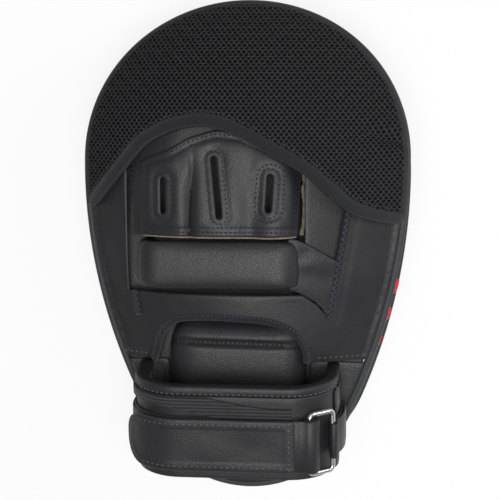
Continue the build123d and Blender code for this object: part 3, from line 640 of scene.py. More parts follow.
def wall_section(height, thickness, bulge, count=9):
    """Section of a side wall: slightly bulged outside, flat inside, with rolled edges."""
    h = np.linspace(-1, 1, count)
    outer = np.stack([thickness / 2 + bulge * (1 - h**2) - 0.5 * np.abs(h) ** 8, h * height / 2], 1)
    inner = np.array([[-thickness / 2, height / 2 * 0.97], [-thickness / 2, -height / 2 * 0.97]])
    return np.concatenate([outer, inner])


PIPING = round_section(2.15)
WALL, BAND = wall_section(17.6, 1.8, 0.5), wall_section(15.0, 1.8, 0.5)
BANDS_MEET, BAND_GAP = -10.0, 0.2
above_the_join = lambda p: p[:, 1] > BANDS_MEET + BAND_GAP
below_the_join = lambda p: p[:, 1] < BANDS_MEET - BAND_GAP
for name, node, radius, inset, section, slot, keep in (
        ("strike_edge_piping", "strike_piping", 522.2, 2.1, PIPING, "grey_piping", None),
        ("back_edge_piping", "back_piping", 558.8, 2.1, PIPING, "grey_piping", None),
        ("strike_side_wall", "strike_wall", 533.1, 2.5, WALL, "black_leather", None),
        ("upper_side_band", "rim_band_upper", 549.1, 1.9, BAND, "grey_piping", above_the_join),
        ("lower_side_band", "rim_band_lower", 549.1, 1.9, BAND, "grey_piping", below_the_join)):
    path, normals = rim_path(radius, inset, keep=keep)
    sweep(name, path, normals, section, slot, (node,), closed=keep is None)


# %% Red tabs on the flanks
def on_wall(side, lift):
    """The strike wall on one flank: u runs along the mitt, v is the distance from the bend axis."""
    def place(uv):
        s = uv[:, 0] * side
        angle = np.arcsin(s / BACK_RADIUS)
        x = side * (half_width(s, 1.6) + lift)
        return np.stack([x, uv[:, 1] * np.sin(angle), AXIS_Z + uv[:, 1] * np.cos(angle)], 1)
    return place


def lone_edges(faces):
    """The edges that only one triangle has: the rim of a filled shape."""
    seen = {}
    for a, b, c in faces:
        for edge in ((a, b), (b, c), (c, a)):
            seen.setdefault(tuple(sorted(edge)), []).append(edge)
    return [edges[0] for edges in seen.values() if len(edges) == 1]


TAB_COUNT, TAB_PITCH, FIRST_TAB = 6, 16.0, -22.0
TAB_LOW, TAB_HIGH, TAB_WIDTH = 526.6, 539.6, 6
TAB_FOOT, TAB_RISE, TAB_ROLL = 1.8, 2.2, 0.8
tab_points, tab_faces, tab_cloth, tab_edge = [], [], [], []
for side in (1, -1):
    for i in range(TAB_COUNT):
        y = (FIRST_TAB - TAB_PITCH * i) * BACK_RADIUS / 533.0
        corners = np.array([(y - TAB_WIDTH, TAB_LOW), (y, TAB_LOW), (y + TAB_WIDTH, TAB_HIGH), (y, TAB_HIGH)])
        corners[:, 0] *= side
        uv, faces, distance = fill(corners if side > 0 else corners[::-1], [], 1.6, 0.6)
        base, normal = on_wall(side, 0.0)(uv), surface_normals(on_wall(side, 0.0), uv)
        rolled = np.clip(1 - (1 - np.clip(distance / TAB_ROLL, 0, 1)) ** 2, 0, 1)
        swell = TAB_FOOT + TAB_RISE * np.sqrt(rolled)
        start = sum(len(p) for p in tab_points)
        tab_points += [base + normal * swell[:, None], base - normal * 0.3]
        n = len(uv)
        tab_faces += [start + faces, start + n + faces[:, ::-1]]
        tab_faces.append(np.array([start + np.array(face) for a, b in lone_edges(faces)
                                   for face in ((a, n + b, b), (a, n + a, n + b))]))
        tab_cloth.append(np.column_stack([np.tile(uv, (2, 1)), np.zeros(2 * n)]))
        tab_edge.append(np.tile(distance, 2))
make_object("red_side_tabs", np.concatenate(tab_points), np.concatenate(tab_faces), "mitt", "red_leather",
            ("side_tabs",), np.concatenate(tab_cloth), np.concatenate(tab_edge))
print("red tabs made")

# %% [markdown]
# ## The hand cover
# One piece of leather is stretched over the back of the hand and down to the piping. It is open at the
# wrist in a wide upside-down U, and open above the knuckles, where the fingers go in. It could be modelled
# as a subdivided grid, but the openings would need hand-placed edge loops. Cutting the flat outline and
# laying it on the dome is what the maker does, and it gives even edges.

# %% Cover outline
def seam_at(y):
    """Where the zigzag thumb seam lies."""
    return 48.0 + (np.asarray(y, float) + 35.0) * 11.0 / 61.0


NOTCH = smooth_line([
    (34.2, -70), (34.0, -60), (33.4, -54.5), (30.5, -47.5), (24.5, -41.8), (13, -37.8), (-11, -36.2),
    (-31, -37.2), (-39.5, -41.0), (-44.5, -48.0), (-47.0, -56.0), (-49.0, -62.0), (-50.0, -70)], 90)
hood_under = HOOD_EDGE + [0, 5.0]
right_rim = rim_stretch(3.4, lambda p: (p[:, 0] > 0) & (p[:, 1] > -61) & (p[:, 1] < 20.5))
left_rim = rim_stretch(3.4, lambda p: (p[:, 0] < 0) & (p[:, 1] > -61) & (p[:, 1] < 14.0))
cut_right = hood_under[(hood_under[:, 0] > 60.5) & (hood_under[:, 0] < 84)][::-1]
cut_left = hood_under[(hood_under[:, 0] < -64.5) & (hood_under[:, 0] > -88)][::-1]
seam_side = np.array([(seam_at(y), y) for y in np.linspace(30, -34, 24)])
window_low = np.array([(46.5, -33.5), (41.0, -27.0), (33.5, -21.5), (-63.5, -21.5), (-63.5, 55)])
cover_outline = np.concatenate([right_rim, cut_right, seam_side, window_low, cut_left, left_rim,
                                NOTCH[(NOTCH[:, 1] > -61)][::-1]])


def cover_relief(uv, distance):
    """Where seams pull the leather down, and where it has set in soft folds."""
    x, y = uv[:, 0], uv[:, 1]
    pull = -0.7 * np.exp(-(((x - seam_at(y) - 3.4) / 1.6) ** 2)) * (y > -38)
    hem = -0.5 * np.exp(-(((distance - 3.0) / 1.2) ** 2)) * (y < -52)
    soft = 0.35 * np.sin(0.09 * x + 0.05 * y) * np.sin(0.07 * y - 0.04 * x + 1.0)
    fold = 0.5 * np.exp(-(((y + 28 + 0.5 * (x + 75)) / 5.0) ** 2)) * (x < -64)
    return (pull + hem + soft + fold) * np.clip(distance / 4, 0, 1)


panel("hand_cover_leather", cover_outline, on_cover(-2.0), 2.0, "black_leather",
      ("hand_cover", "thumb_panel"), gap=1.9, edge=1.0, relief=cover_relief)

# %% Bindings and seams of the cover
notch_run = NOTCH[NOTCH[:, 1] > -61.5]
notch_side = np.gradient(notch_run, axis=0)
notch_out = np.stack([notch_side[:, 1], -notch_side[:, 0]], 1)
notch_mid = notch_run + 1.9 * notch_out / np.linalg.norm(notch_side, axis=1)[:, None]
path, normals = line_on(on_cover(-0.6), notch_mid, 1.4)
sweep("wrist_opening_binding", path, normals, half_round(4.2, 1.5, sunk=2.2), "black_tape", ("notch_binding",))
seam_line = np.array([(seam_at(y), y) for y in np.linspace(30, -35.5, 40)])
path, normals = line_on(on_cover(0.05), seam_line, 1.2)
sweep("thumb_seam_tape", path, normals, half_round(4.6, 0.9, sunk=0.6), "black_tape", ("thumb_seam",))
tack_line = np.array([(-60.4, -21.4), (-58.4, -35.5)])
path, normals = line_on(on_cover(0.05), tack_line, 1.2)
sweep("left_tack_tape", path, normals, half_round(4.5, 0.9, sunk=0.6), "black_tape", ("left_tack",))

# %% [markdown]
# ## Thumb web and wing
# Between the finger tunnel and the thumb seam the leather dips into a web. The knuckle bar runs on into
# it as a flat wing that fans out to the seam.

# %% Web and wing
web_outline = [(35.0, -11.5)] + [(seam_at(y) - 2.0, y) for y in (-11.5, 0, 15, 30, 45, 58)] + [(35.0, 58)]
panel("thumb_web_leather", web_outline, on_cover(-3.4), 1.2, "black_leather", ("thumb_web",),
      gap=2.2, edge=0.6)
wing_outline = [(26, -18.2), (31.0, -19.8), (40.3, -25.6), (44.2, -29.8), (46.8, -34.6)]
wing_outline += [(seam_at(y) - 0.8, y) for y in (-33, -22, -12, -3.4)] + [(43, 2.6), (35.0, 7.4), (30, 9.6), (26, 9.6)]


def wing_relief(uv, distance):
    """Folds that fan from the end of the bar to the seam."""
    fan = np.arctan2(uv[:, 1] + 6.0, uv[:, 0] - 18.0)
    return 0.5 * np.sin(fan * 9.0 + 0.6) * np.clip((uv[:, 0] - 28) / 8, 0, 1) * np.clip(distance / 3, 0, 1)


panel("knuckle_wing", wing_outline, on_cover(-0.9), 1.6, "black_leather", (), gap=1.7, edge=0.8,
      relief=wing_relief)

# %% [markdown]
# ## The mesh hood
# The hood over the fingers is a thick spacer mesh: two faces held apart by fine yarns, with rows of small
# oval holes. The holes are cut into the mesh as real dimples, staggered like bricks, and a shader adds the
# yarns between them and fills the holes with painted shade, near black. A picture of the holes alone would look flat
# from the side.

# %% Hood outline and hole rows
hood_rim = rim_stretch(2.8, lambda p: inside(p, [np.concatenate([HOOD_EDGE, [(112, 300), (-112, 300)]])]))
edge_inside = HOOD_EDGE[(np.abs(HOOD_EDGE[:, 0]) < half_width(HOOD_EDGE[:, 1], 3.4))]
edge_dense = smooth_line(edge_inside, 160)
hood_outline = np.concatenate([hood_rim, edge_dense])
HOLE_PITCH, HOLE_ROW = 2.85, 1.72


def hood_relief(uv, distance):
    """Oval dimples in brick rows, clear of the edges."""
    u, v = uv[:, 0] / HOLE_PITCH, uv[:, 1] / (2 * HOLE_ROW)
    near = 1e9
    for shift in (0.0, 0.5):
        du = (u + shift + 0.5) % 1 - 0.5
        dv = (v + shift + 0.5) % 1 - 0.5
        near = np.minimum(near, np.hypot(du * HOLE_PITCH / 0.78, dv * 2 * HOLE_ROW / 0.6))
    return -0.9 * (near < 0.9) * np.clip(1.4 - near, 0, 1) * np.clip((distance - 2) / 1.5, 0, 1)


panel("mesh_hood_cloth", hood_outline, on_hood(-2.6), 2.6, "spacer_mesh", ("mesh_hood",), gap=1.25,
      edge=1.4, relief=hood_relief)
binding_line = smooth_line(edge_inside, 150)
path, normals = line_on(on_hood(0.2), binding_line, 1.2)
sweep("hood_edge_binding", path, normals, half_round(6.5, 1.6, sunk=3.0), "black_tape", ("hood_binding",))

# %% [markdown]
# ## Finger tunnel
# A leather tunnel holds the fingers. Over it lies a slotted panel, sewn down with doubled rows of thread,
# and the fingers have worn it into humps with valleys between them.

# %% Tunnel form
def finger_humps(uv):
    """How the fingers have shaped the tunnel."""
    u, v = uv[:, 0], uv[:, 1]
    fade = np.clip((58 - v) / 30, 0, 1)
    crease = -3.0 * np.exp(-(((u + 12.0 - 0.04 * (v - 20)) / 3.2) ** 2)) * fade
    valley = -2.0 * np.exp(-(((u - 21.0) / 6.0) ** 2)) * fade
    hump = sum(rise * np.exp(-(((u - middle) / reach) ** 2))
               for rise, middle, reach in ((0.9, -30, 9), (1.1, 3, 9), (0.8, 36, 8)))
    return crease + valley + hump * fade


def on_fingers(lift):
    """The finger tunnel, humped, and kept down under the hood."""
    base = on_tunnel(lift, relief=finger_humps)

    def place(uv):
        p = base(uv)
        room = dome_height(p[:, 0], p[:, 1], **HOOD) - 5.6 + lift
        soft = 1.5
        gap = room - p[:, 2]
        p[:, 2] = np.where(gap > soft, p[:, 2], room - soft * np.exp(np.minimum(gap - soft, 0) / soft))
        return p
    return place


def tunnel_uv(points):
    """Cloth coordinates on the tunnel of places seen from above."""
    flat = []
    for x, y in points:
        u = arch_u(x, **TUNNEL)
        h = float(arch_profile(np.array(u), 0.0, **TUNNEL)[1])
        flat.append((u, y * BACK_RADIUS / (BACK_RADIUS + h)))
    return np.array(flat)


SLOTS = (((-41.0, 32.5), 19.5, 0.0), ((-12.0, 37.0), 33.5, 6.0), ((16.5, 34.0), 20.5, -3.0))
slots = [tunnel_uv(slot_shape(centre, length, 2.9, lean))[::-1] for centre, length, lean in SLOTS]
pouch_outline = [(-69.5, 9.8), (69.5, 9.8), (69.5, 92), (-69.5, 92)]
panel("finger_tunnel_leather", pouch_outline, on_fingers(-2.0), 2.0, "black_leather", ("finger_pouch",),
      holes=[tunnel_uv(slot_shape(centre, length + 0.6, 3.5, lean))[::-1] for centre, length, lean in SLOTS],
      gap=2.2, edge=1.0)
panel_outline = rounded([
    (-53.6, 10.6), (30.0, 10.6), (31.8, 49.5), (14, 61), (1, 66.5), (-13, 68), (-28, 63.5), (-38.5, 57.0),
    (-53.6, 51)], [1.2, 1.2, 2, 14, 12, 14, 14, 3, 3])


def panel_relief(uv, distance):
    """The leather puffs up between its rows of stitches."""
    rows = -0.55 * np.exp(-(((distance - 3.4) / 0.9) ** 2))
    puff = 0.5 * np.clip((distance - 4) / 4, 0, 1)
    fold = 0.8 * np.exp(-(((uv[:, 0] + 13.5) / 2.2) ** 2) - (((uv[:, 1] - 45) / 5.0) ** 2))
    return rows + puff + fold


panel("slotted_finger_panel", tunnel_uv(panel_outline), on_fingers(0.2), 2.0, "black_leather",
      ("finger_panel",), holes=slots, gap=1.4, edge=0.9, relief=panel_relief)


# %% [markdown]
# ## Padded pieces
# The knuckle bar and the palm cushion are leather over foam. Stuffed leather is best found by simulation:
# a slightly small closed shape is blown up as cloth, and it swells, and wrinkles, where it has room. The
# cloth's own points are capped, so that it stays in the space that its foam holds.

# %% Blow up a closed shape
def puffed(name, points, faces, voxel=3.2, pressure=4.0, cap=3.0, frames=20):
    """Inflates a closed shape as cloth, and returns its points in millimetres and its faces."""
    mesh = bpy.data.meshes.new(name + "_start")
    mesh.from_pydata((np.asarray(points) * MM).tolist(), [], [list(map(int, f)) for f in faces])
    start = bpy.data.objects.new(name + "_start", mesh)
    bpy.context.scene.collection.objects.link(start)
    remesh = start.modifiers.new("even", "REMESH")
    remesh.mode, remesh.voxel_size = "VOXEL", voxel * MM
    graph = bpy.context.evaluated_depsgraph_get()
    even = bpy.data.meshes.new_from_object(start.evaluated_get(graph))
    start.modifiers.clear()
    start.data = even
    rest = np.empty(len(even.vertices) * 3)
    even.vertices.foreach_get("co", rest)
    rest = rest.reshape(-1, 3)
    cloth = start.modifiers.new("cloth", "CLOTH")
    cloth.settings.use_pressure = True
    cloth.settings.uniform_pressure_force = pressure
    cloth.settings.effector_weights.gravity = 0
    cloth.settings.tension_stiffness = cloth.settings.compression_stiffness = 12
    cloth.settings.bending_stiffness = 0.4
    cloth.settings.quality = 6
    for step in range(1, frames + 1):
        bpy.context.scene.frame_set(step)
    graph = bpy.context.evaluated_depsgraph_get()
    blown = start.evaluated_get(graph).to_mesh()
    moved = np.empty(len(blown.vertices) * 3)
    blown.vertices.foreach_get("co", moved)
    move = moved.reshape(-1, 3) - rest
    far = np.linalg.norm(move, axis=1)
    rest = rest + move * (np.minimum(far, cap * MM) / np.maximum(far, 1e-9))[:, None]
    bpy.context.scene.frame_set(1)
    found = rest / MM, [tuple(p.vertices) for p in even.polygons]
    bpy.data.objects.remove(start)
    return found


def subdivided(points, faces):
    """One step of smooth subdivision."""
    mesh = bpy.data.meshes.new("smooth_step")
    mesh.from_pydata((points * MM).tolist(), [], faces)
    holder = bpy.data.objects.new("smooth_step", mesh)
    bpy.context.scene.collection.objects.link(holder)
    step = holder.modifiers.new("smooth", "SUBSURF")
    step.levels = step.render_levels = 1
    fine = bpy.data.meshes.new_from_object(holder.evaluated_get(bpy.context.evaluated_depsgraph_get()))
    out = np.empty(len(fine.vertices) * 3)
    fine.vertices.foreach_get("co", out)
    polygons = [tuple(p.vertices) for p in fine.polygons]
    bpy.data.objects.remove(holder)
    return out.reshape(-1, 3) / MM, polygons


# %% The knuckle bar
def bent_bar(shrink, rows=18, around=28):
    """The bar's closed form: an oval section that follows the tunnel's arch, rounded off at its feet."""
    shape = {"left": -58 + shrink, "right": 34 - shrink, "height": 34 - shrink, "corner": 13 - shrink}
    half = (shape["right"] - shape["left"]) / 2
    reach = half - shape["corner"] + shape["corner"] * math.pi / 2 + shape["height"] - shape["corner"] - 0.6
    u_line = np.linspace(-reach, reach, rows * 5)
    points, faces = [], []
    for u in u_line:
        a = np.arange(around) / around * 2 * math.pi
        end = min(1.0, ((reach - abs(u)) / 6.0 + 0.3)) ** 0.5
        s = np.sign(np.cos(a)) * np.abs(np.cos(a)) ** 0.55
        v = -4.6 + (13.6 - shrink) * s * (0.96 + 0.04 * end)
        lift = -4.2 + (4.2 - shrink * 0.2) * np.sign(np.sin(a)) * np.abs(np.sin(a)) ** 0.7
        points.append(on_tunnel(0, shape)(np.stack([np.full(around, u), v], 1))
                      + lift[:, None] * surface_normals(on_tunnel(0, shape), np.stack([np.full(around, u), v], 1)))
    n = len(u_line)
    for i in range(n - 1):
        faces += [(i * around + k, (i + 1) * around + k, (i + 1) * around + (k + 1) % around,
                   i * around + (k + 1) % around) for k in range(around)]
    faces += [tuple(range(around)), tuple((n - 1) * around + k for k in range(around - 1, -1, -1))]
    return np.concatenate(points), faces


foam_points, foam_faces = bent_bar(3.2, rows=10, around=16)
bar_foam = make_object("knuckle_bar_foam", foam_points, foam_faces, "mitt", "soft_foam", ("bar_foam",))
bar_points, bar_faces = puffed("bar", *bent_bar(0.8), voxel=2.6, cap=2.2)
bar_points, bar_faces = subdivided(bar_points, bar_faces)
knuckle_bar = make_object("knuckle_bar_leather", bar_points, bar_faces, "mitt", "black_leather", ("bar_cover",))
print("knuckle bar", len(bar_points), "points, top at", round(bar_points[:, 2].max(), 1))


# %% The palm cushion
def cushion_form(shrink, gap=4.0, height=17.0):
    """The cushion's closed form, crowned, with a flat underside."""
    outline = rounded([(36 - shrink, -36 - shrink), (-43 + shrink, -36 - shrink), (-43 + shrink, -88 + shrink),
                       (36 - shrink, -88 + shrink)], 14 - shrink)
    uv, faces, distance = fill(outline, [], gap, 2.0)
    crown = np.sqrt(np.clip(1 - (1 - np.clip(distance / 15.0, 0, 1)) ** 2, 0, 1))
    top = on_pad(0.4)(uv) + surface_normals(on_pad(0), uv) * ((height - 0.6 - shrink) * (0.35 + 0.65 * crown))[:, None]
    low = on_pad(0.3)(uv)
    n = len(uv)
    sides = [(a, a + n, b + n, b) for a, b in lone_edges(faces)]
    return np.concatenate([top, low]), [tuple(f) for f in faces] + [tuple(f[::-1] + n) for f in faces] + sides


foam_points, foam_faces = cushion_form(5.0)
cushion_foam = make_object("palm_cushion_foam", foam_points, foam_faces, "mitt", "soft_foam", ("cushion_foam",))
cushion_points, cushion_faces = puffed("cushion", *cushion_form(1.2), voxel=3.2, cap=2.6)
cushion_points, cushion_faces = subdivided(cushion_points, cushion_faces)
floor_of = height_at(cushion_points[:, 1], BACK_RADIUS + 0.25)
seam_low = np.exp(-(((cushion_points[:, 1] + 50.5 + 0.02 * cushion_points[:, 0]) / 1.7) ** 2))
seam_low *= (cushion_points[:, 2] > floor_of + 5)
cushion_points[:, 2] = np.maximum(cushion_points[:, 2] - 2.4 * seam_low, floor_of)
cushion = make_object("palm_cushion_leather", cushion_points, cushion_faces, "mitt", "black_leather",
                      ("cushion_cover",))
print("cushion", len(cushion_points), "points, top at", round(cushion_points[:, 2].max(), 1))

# %% [markdown]
# ## The heel
# Below the hand cover the pad's back is faced with leather, and a patch of loop fabric runs out from under
# the cuff on the side away from the thumb.

# %% Heel panel and its loop patch
heel_rim = rim_stretch(3.6, lambda p: p[:, 1] < -61.6)
CUSHION_CUT = rounded([(36.4, -61.6), (36.4, -88.6), (-43.4, -88.6), (-43.4, -61.6)], [0, 14, 14, 0], closed=False)
heel_outline = np.concatenate([heel_rim, CUSHION_CUT])
panel("heel_leather", heel_outline, on_pad(0.2), 1.2, "black_leather", ("heel_panel",), gap=2.4, edge=0.8)
left_heel = rim_stretch(4.6, lambda p: (p[:, 0] < -34) & (p[:, 1] < -64))
loop_heel = np.concatenate([left_heel, [(-34, -128), (-40, -100), (-47, -88), (-47, -64)]])
panel("heel_loop_fabric", loop_heel, on_pad(1.5), 1.0, "loop_fabric", (), gap=2.0, edge=0.8)

# %% [markdown]
# ## The wrist cuff
# The cuff is an arch of leather over foam, lined with cloth and bound along its front edge. It stands
# square to the bent pad. Its pieces are cut flat and laid round the arch.

# %% Cuff pieces
def cuff_uv(points):
    """Cloth coordinates on the cuff from places across it and distances along the wrist."""
    return np.array([(arch_u(x, **CUFF), -t) for x, t in points])


CUFF_CORNER = CUFF["corner"]
CUFF_FLAT = (CUFF["right"] - CUFF["left"]) / 2 - CUFF_CORNER
CUFF_U = CUFF_FLAT + CUFF_CORNER * math.pi / 2 + (CUFF["height"] - CUFF_CORNER)


def cuff_sheet(start, stop, right_x=None, foot=1.2):
    """Outline of a band across the cuff, cut off above the heel along its rising lower edge."""
    def foot_u(t):
        return CUFF_U - foot - max(0.0, (t + 4.0) / 30.5 * 20.0)
    ts = np.linspace(start, stop, 9)
    left = [(-foot_u(t), -t) for t in ts]
    right = [(foot_u(t) if right_x is None else arch_u(right_x, **CUFF), -t) for t in ts]
    return np.array(left + right[::-1])


panel("cuff_leather", cuff_sheet(-20.9, 26.5), on_cuff(-1.2), 1.2, "black_leather", ("cuff_cover",),
      gap=2.2, edge=0.8)
cuff_foam = panel("cuff_foam_piece", cuff_sheet(-20.8, 24.5), on_cuff(-4.4), 3.0, "soft_foam", ("cuff_foam",),
                  gap=4.0, edge=1.2)
panel("cuff_lining_cloth", cuff_sheet(-20.8, 26.3), on_cuff(-5.6), 1.0, "lining_cloth",
      ("cuff_lining",), gap=3.0, edge=0.6)
binding_uv = np.stack([np.linspace(-CUFF_U + 1.6, CUFF_U - 1.6, 150), np.full(150, 23.7)], 1)
path, normals = line_on(on_cuff(-2.7), binding_uv, 1.4)
a = np.arange(20) / 20 * 2 * math.pi
roll = np.stack([2.85 * np.sign(np.cos(a)) * np.abs(np.cos(a)) ** 0.5,
                 3.35 * np.sign(np.sin(a)) * np.abs(np.sin(a)) ** 0.6], 1)
sweep("cuff_front_binding", path, normals, roll, "black_leather", ("cuff_binding",))

# %% [markdown]
# ## Strap, loop patch and elastic
# The strap comes up from the side away from the thumb and is faced with loop fabric. A ribbed elastic edge
# sweeps over the cuff in front of it.

# %% Strap layers
panel("closure_strap_webbing", cuff_sheet(-9.5, 19.5, right_x=33.0), on_cuff(0.2), 1.2, "grey_webbing",
      ("closure_strap",), gap=2.4, edge=0.6)
panel("cuff_loop_fabric", cuff_sheet(-8.5, 18.5, right_x=29.0), on_cuff(1.6), 1.0, "loop_fabric",
      ("loop_patch",), gap=2.2, edge=0.7)
elastic_line = smooth_line([(-62, -20.0), (-50, -20.6), (-36, -20.0), (-12, -14.5), (10, -10.5), (30, -9.5)], 50)
elastic_uv = cuff_uv(elastic_line)
elastic_up = elastic_uv + [0, 5.2]
elastic_low = elastic_uv - [0, 5.2]
elastic_up[:, 1] = np.minimum(elastic_up[:, 1], 20.6)
panel("ribbed_elastic", np.concatenate([elastic_low, elastic_up[::-1]]), on_cuff(0.3), 1.6,
      "grey_webbing", ("elastic_edge",), gap=1.8, edge=0.6)

# %% [markdown]
# ## Ring, keeper and flap
# A rectangular wire ring hangs on a keeper tab at the thumb side. The strap turns back through it and ends
# as a broad flap with a bound edge. The ring's shape in the frame is right, so it stays and only gets a
# finish; the leather round it is made new, because leather has soft edges and stitches.

# %% Keeper
SHOULDER = np.array([CUFF["right"] - CUFF_CORNER, CUFF["height"] - CUFF_CORNER])
KEEPER_BAR = SHOULDER + 30.95 * np.array([math.cos(math.radians(37)), math.sin(math.radians(37))])
STRAP_BAR = SHOULDER + 29.75 * np.array([math.cos(math.radians(64)), math.sin(math.radians(64))])


def shoulder_u(angle):
    """Cloth coordinate on the cuff of an angle about its thumb-side shoulder."""
    return CUFF_FLAT + CUFF_CORNER * math.radians(90 - angle)


keeper_top = shoulder_u(18)
keeper_patch = [(keeper_top, 19.6), (keeper_top, -25.5), (CUFF_U - 21.0, -25.5),
                (CUFF_U - 1.6, 3.0), (CUFF_U - 1.6, 19.6)]
panel("keeper_leather", keeper_patch, on_cuff(0.2), 1.2, "black_leather", ("keeper_panel",),
      gap=2.0, edge=0.8)


def loop_strip(name, points, thickness, start, stop, body, slot, stands_for=()):
    """Leather or webbing that runs round a bar of the ring and back flat on itself."""
    ahead = np.gradient(points, axis=0)
    ahead /= np.linalg.norm(ahead, axis=1)[:, None]
    out = np.stack([ahead[:, 1], -ahead[:, 0]], 1)
    width = np.array([start, start + 0.5, stop - 0.5, stop])
    half = np.array([0.55, 1.0, 1.0, 0.55]) * thickness / 2
    wide, up = np.concatenate([width, width[::-1]]), np.concatenate([half, -half[::-1]])
    rows = [cuff_place(p[0] + o[0] * up, p[1] + o[1] * up, wide) for p, o in zip(points, out)]
    n, m = len(rows), len(wide)
    faces = [(i * m + k, i * m + (k + 1) % m, (i + 1) * m + (k + 1) % m, (i + 1) * m + k)
             for i in range(n - 1) for k in range(m)]
    faces += [tuple(range(m - 1, -1, -1)), tuple((n - 1) * m + k for k in range(m))]
    run = np.linalg.norm(np.diff(points, axis=0, prepend=points[:1]), axis=1).cumsum()
    cloth = np.stack([np.tile(wide, n), np.repeat(run, m), np.zeros(n * m)], 1)
    return make_object(name, np.concatenate(rows), faces, body, slot, stands_for, cloth, np.full(n * m, 5.0))


def around(centre, radius, first, last, count):
    """Points round a bar in the cuff's cross-section, by angle in degrees."""
    a = np.radians(np.linspace(first, last, count))
    return np.stack([centre[0] + radius * np.cos(a), centre[1] + radius * np.sin(a)], 1)


def shoulder_arc(radius, first, last, count):
    """Points round the cuff's thumb-side shoulder, by angle in degrees."""
    return around(SHOULDER, radius, first, last, count)


low_r, high_r = CUFF_CORNER + 1.6 + 0.8, CUFF_CORNER + 1.6 + 2.4
straight = lambda r, low: np.array([(SHOULDER[0] + r, h) for h in np.linspace(low, 19, 6)])
tab_line = np.concatenate([
    straight(low_r, 11.0), shoulder_arc(low_r, 4, 30, 8),
    around(KEEPER_BAR, 2.55, -120, 95, 16),
    shoulder_arc(high_r, 27, 4, 7), straight(high_r, 11.0)[::-1]])
loop_strip("keeper_tab_leather", tab_line, 1.5, -5.0, 15.0, "mitt", "black_leather", ("keeper_tab",))

# %% Strap fold, flap root and flap
fold_line = around(STRAP_BAR, 2.5, 64 + 200, 64 - 120, 26)
loop_strip("strap_fold_webbing", fold_line, 1.5, -9.0, 19.0, "ring", "grey_webbing", ("strap_fold",))
root_line = np.concatenate([shoulder_arc(31.2, 84, 73.5, 6), around(STRAP_BAR, 4.45, 105, -28, 14)])
loop_strip("flap_root_leather", root_line, 1.9, -9.9, 19.9, "flap", "black_leather")
flap_right = shoulder_u(80)
flap_left = arch_u(-56.0, **CUFF)
flap_outline = rounded([(flap_left, -20), (flap_right, -20), (flap_right, 10), (flap_left, 10)], [13, 1.5, 1.5, 13])


def flap_relief(uv, distance):
    """A bound border: a rolled rim, a step down at its inner edge, and a soft middle."""
    step = 0.55 * np.clip((4.9 - distance) / 0.8, 0, 1)
    dent = -0.45 * np.exp(-(((distance - 2.9) / 0.6) ** 2))
    wave = 0.25 * np.sin(uv[:, 0] * 0.11) * np.sin(uv[:, 1] * 0.2)
    return step + dent + wave


panel("closure_flap_leather", flap_outline, on_cuff(4.2), 2.0, "black_leather", ("flap",), gap=1.5, edge=0.9,
      body="flap", relief=flap_relief)
hook_outline = rounded([(flap_left + 3.5, -16.5), (arch_u(10.0, **CUFF), -16.5), (arch_u(10.0, **CUFF), 6.5),
                        (flap_left + 3.5, 6.5)], [9, 1, 1, 9])
panel("flap_hook_fabric", hook_outline, on_cuff(3.0), 1.0, "hook_fabric", ("hook_patch",), gap=2.4,
      edge=0.6, body="flap")


# %% [markdown]
# ## Light and camera
# The camera looks almost straight down at the back of the mitt, a little from the thumb side and from the
# fingers. One wide soft lamp over it gives the leather its broad sheen, and a pale floor keeps a faint
# shadow.

# %% Camera, lamps, floor and world
scene = bpy.context.scene
tilt_x, tilt_y, distance = math.radians(6.5), math.radians(6.0), 0.850
toward = Vector((math.sin(tilt_x) * math.cos(tilt_y), math.sin(tilt_y), math.cos(tilt_x) * math.cos(tilt_y)))
lens = bpy.data.cameras.new("camera")
SENSOR, LENS_IN_SENSORS = 36.0, 2.9824
lens.sensor_width, lens.lens = SENSOR, LENS_IN_SENSORS * SENSOR
lens.shift_x, lens.shift_y = 0.003, -0.005
camera = bpy.data.objects.new("camera", lens)
camera.location = Vector((0, 0, 0.040)) + toward * distance
right = (-toward).cross(Vector((0, 1, 0))).normalized()
up = right.cross(-toward)
camera.matrix_world = Matrix((
    (right.x, up.x, toward.x, camera.location.x), (right.y, up.y, toward.y, camera.location.y),
    (right.z, up.z, toward.z, camera.location.z), (0, 0, 0, 1)))
scene.collection.objects.link(camera)
scene.camera = camera


def lamp(name, place, size, power, aim=(0, 0, 0.05)):
    """A round soft lamp, turned to the mitt."""
    light = bpy.data.lights.new(name, "AREA")
    light.shape, light.size, light.energy = "DISK", size, power
    made = bpy.data.objects.new(name, light)
    made.location = place
    made.rotation_euler = (Vector(place) - Vector(aim)).to_track_quat("Z", "Y").to_euler()
    scene.collection.objects.link(made)


lamp("softbox_above", (0.12, -0.10, 1.3), 0.7, 15.0)
lamp("softbox_right", (1.1, 0.35, 0.8), 0.7, 5.5)
floor_mesh = bpy.data.meshes.new("floor")
floor_mesh.from_pydata([(-3, -3, 0), (3, -3, 0), (3, 3, 0), (-3, 3, 0)], [], [(0, 1, 2, 3)])
floor = bpy.data.objects.new("floor", floor_mesh)
floor.location.z = -0.0005
scene.collection.objects.link(floor)
floor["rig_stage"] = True
world = bpy.data.worlds.new("studio")
scene.world = world
world.use_nodes = True
scene.view_settings.view_transform = "Standard"
print("camera", tuple(round(c, 3) for c in camera.location))


# %% [markdown]
# ## Finishes
# Every finish is built from nodes, so that it needs no image and works at any size. The sums in a finish
# are written as sums: a small class stands for a node's output, and adding or multiplying two of them
# places the Math node. All patterns are laid out in millimetres, either on the cloth coordinates of a
# piece or, for leather grain, on its place in space.

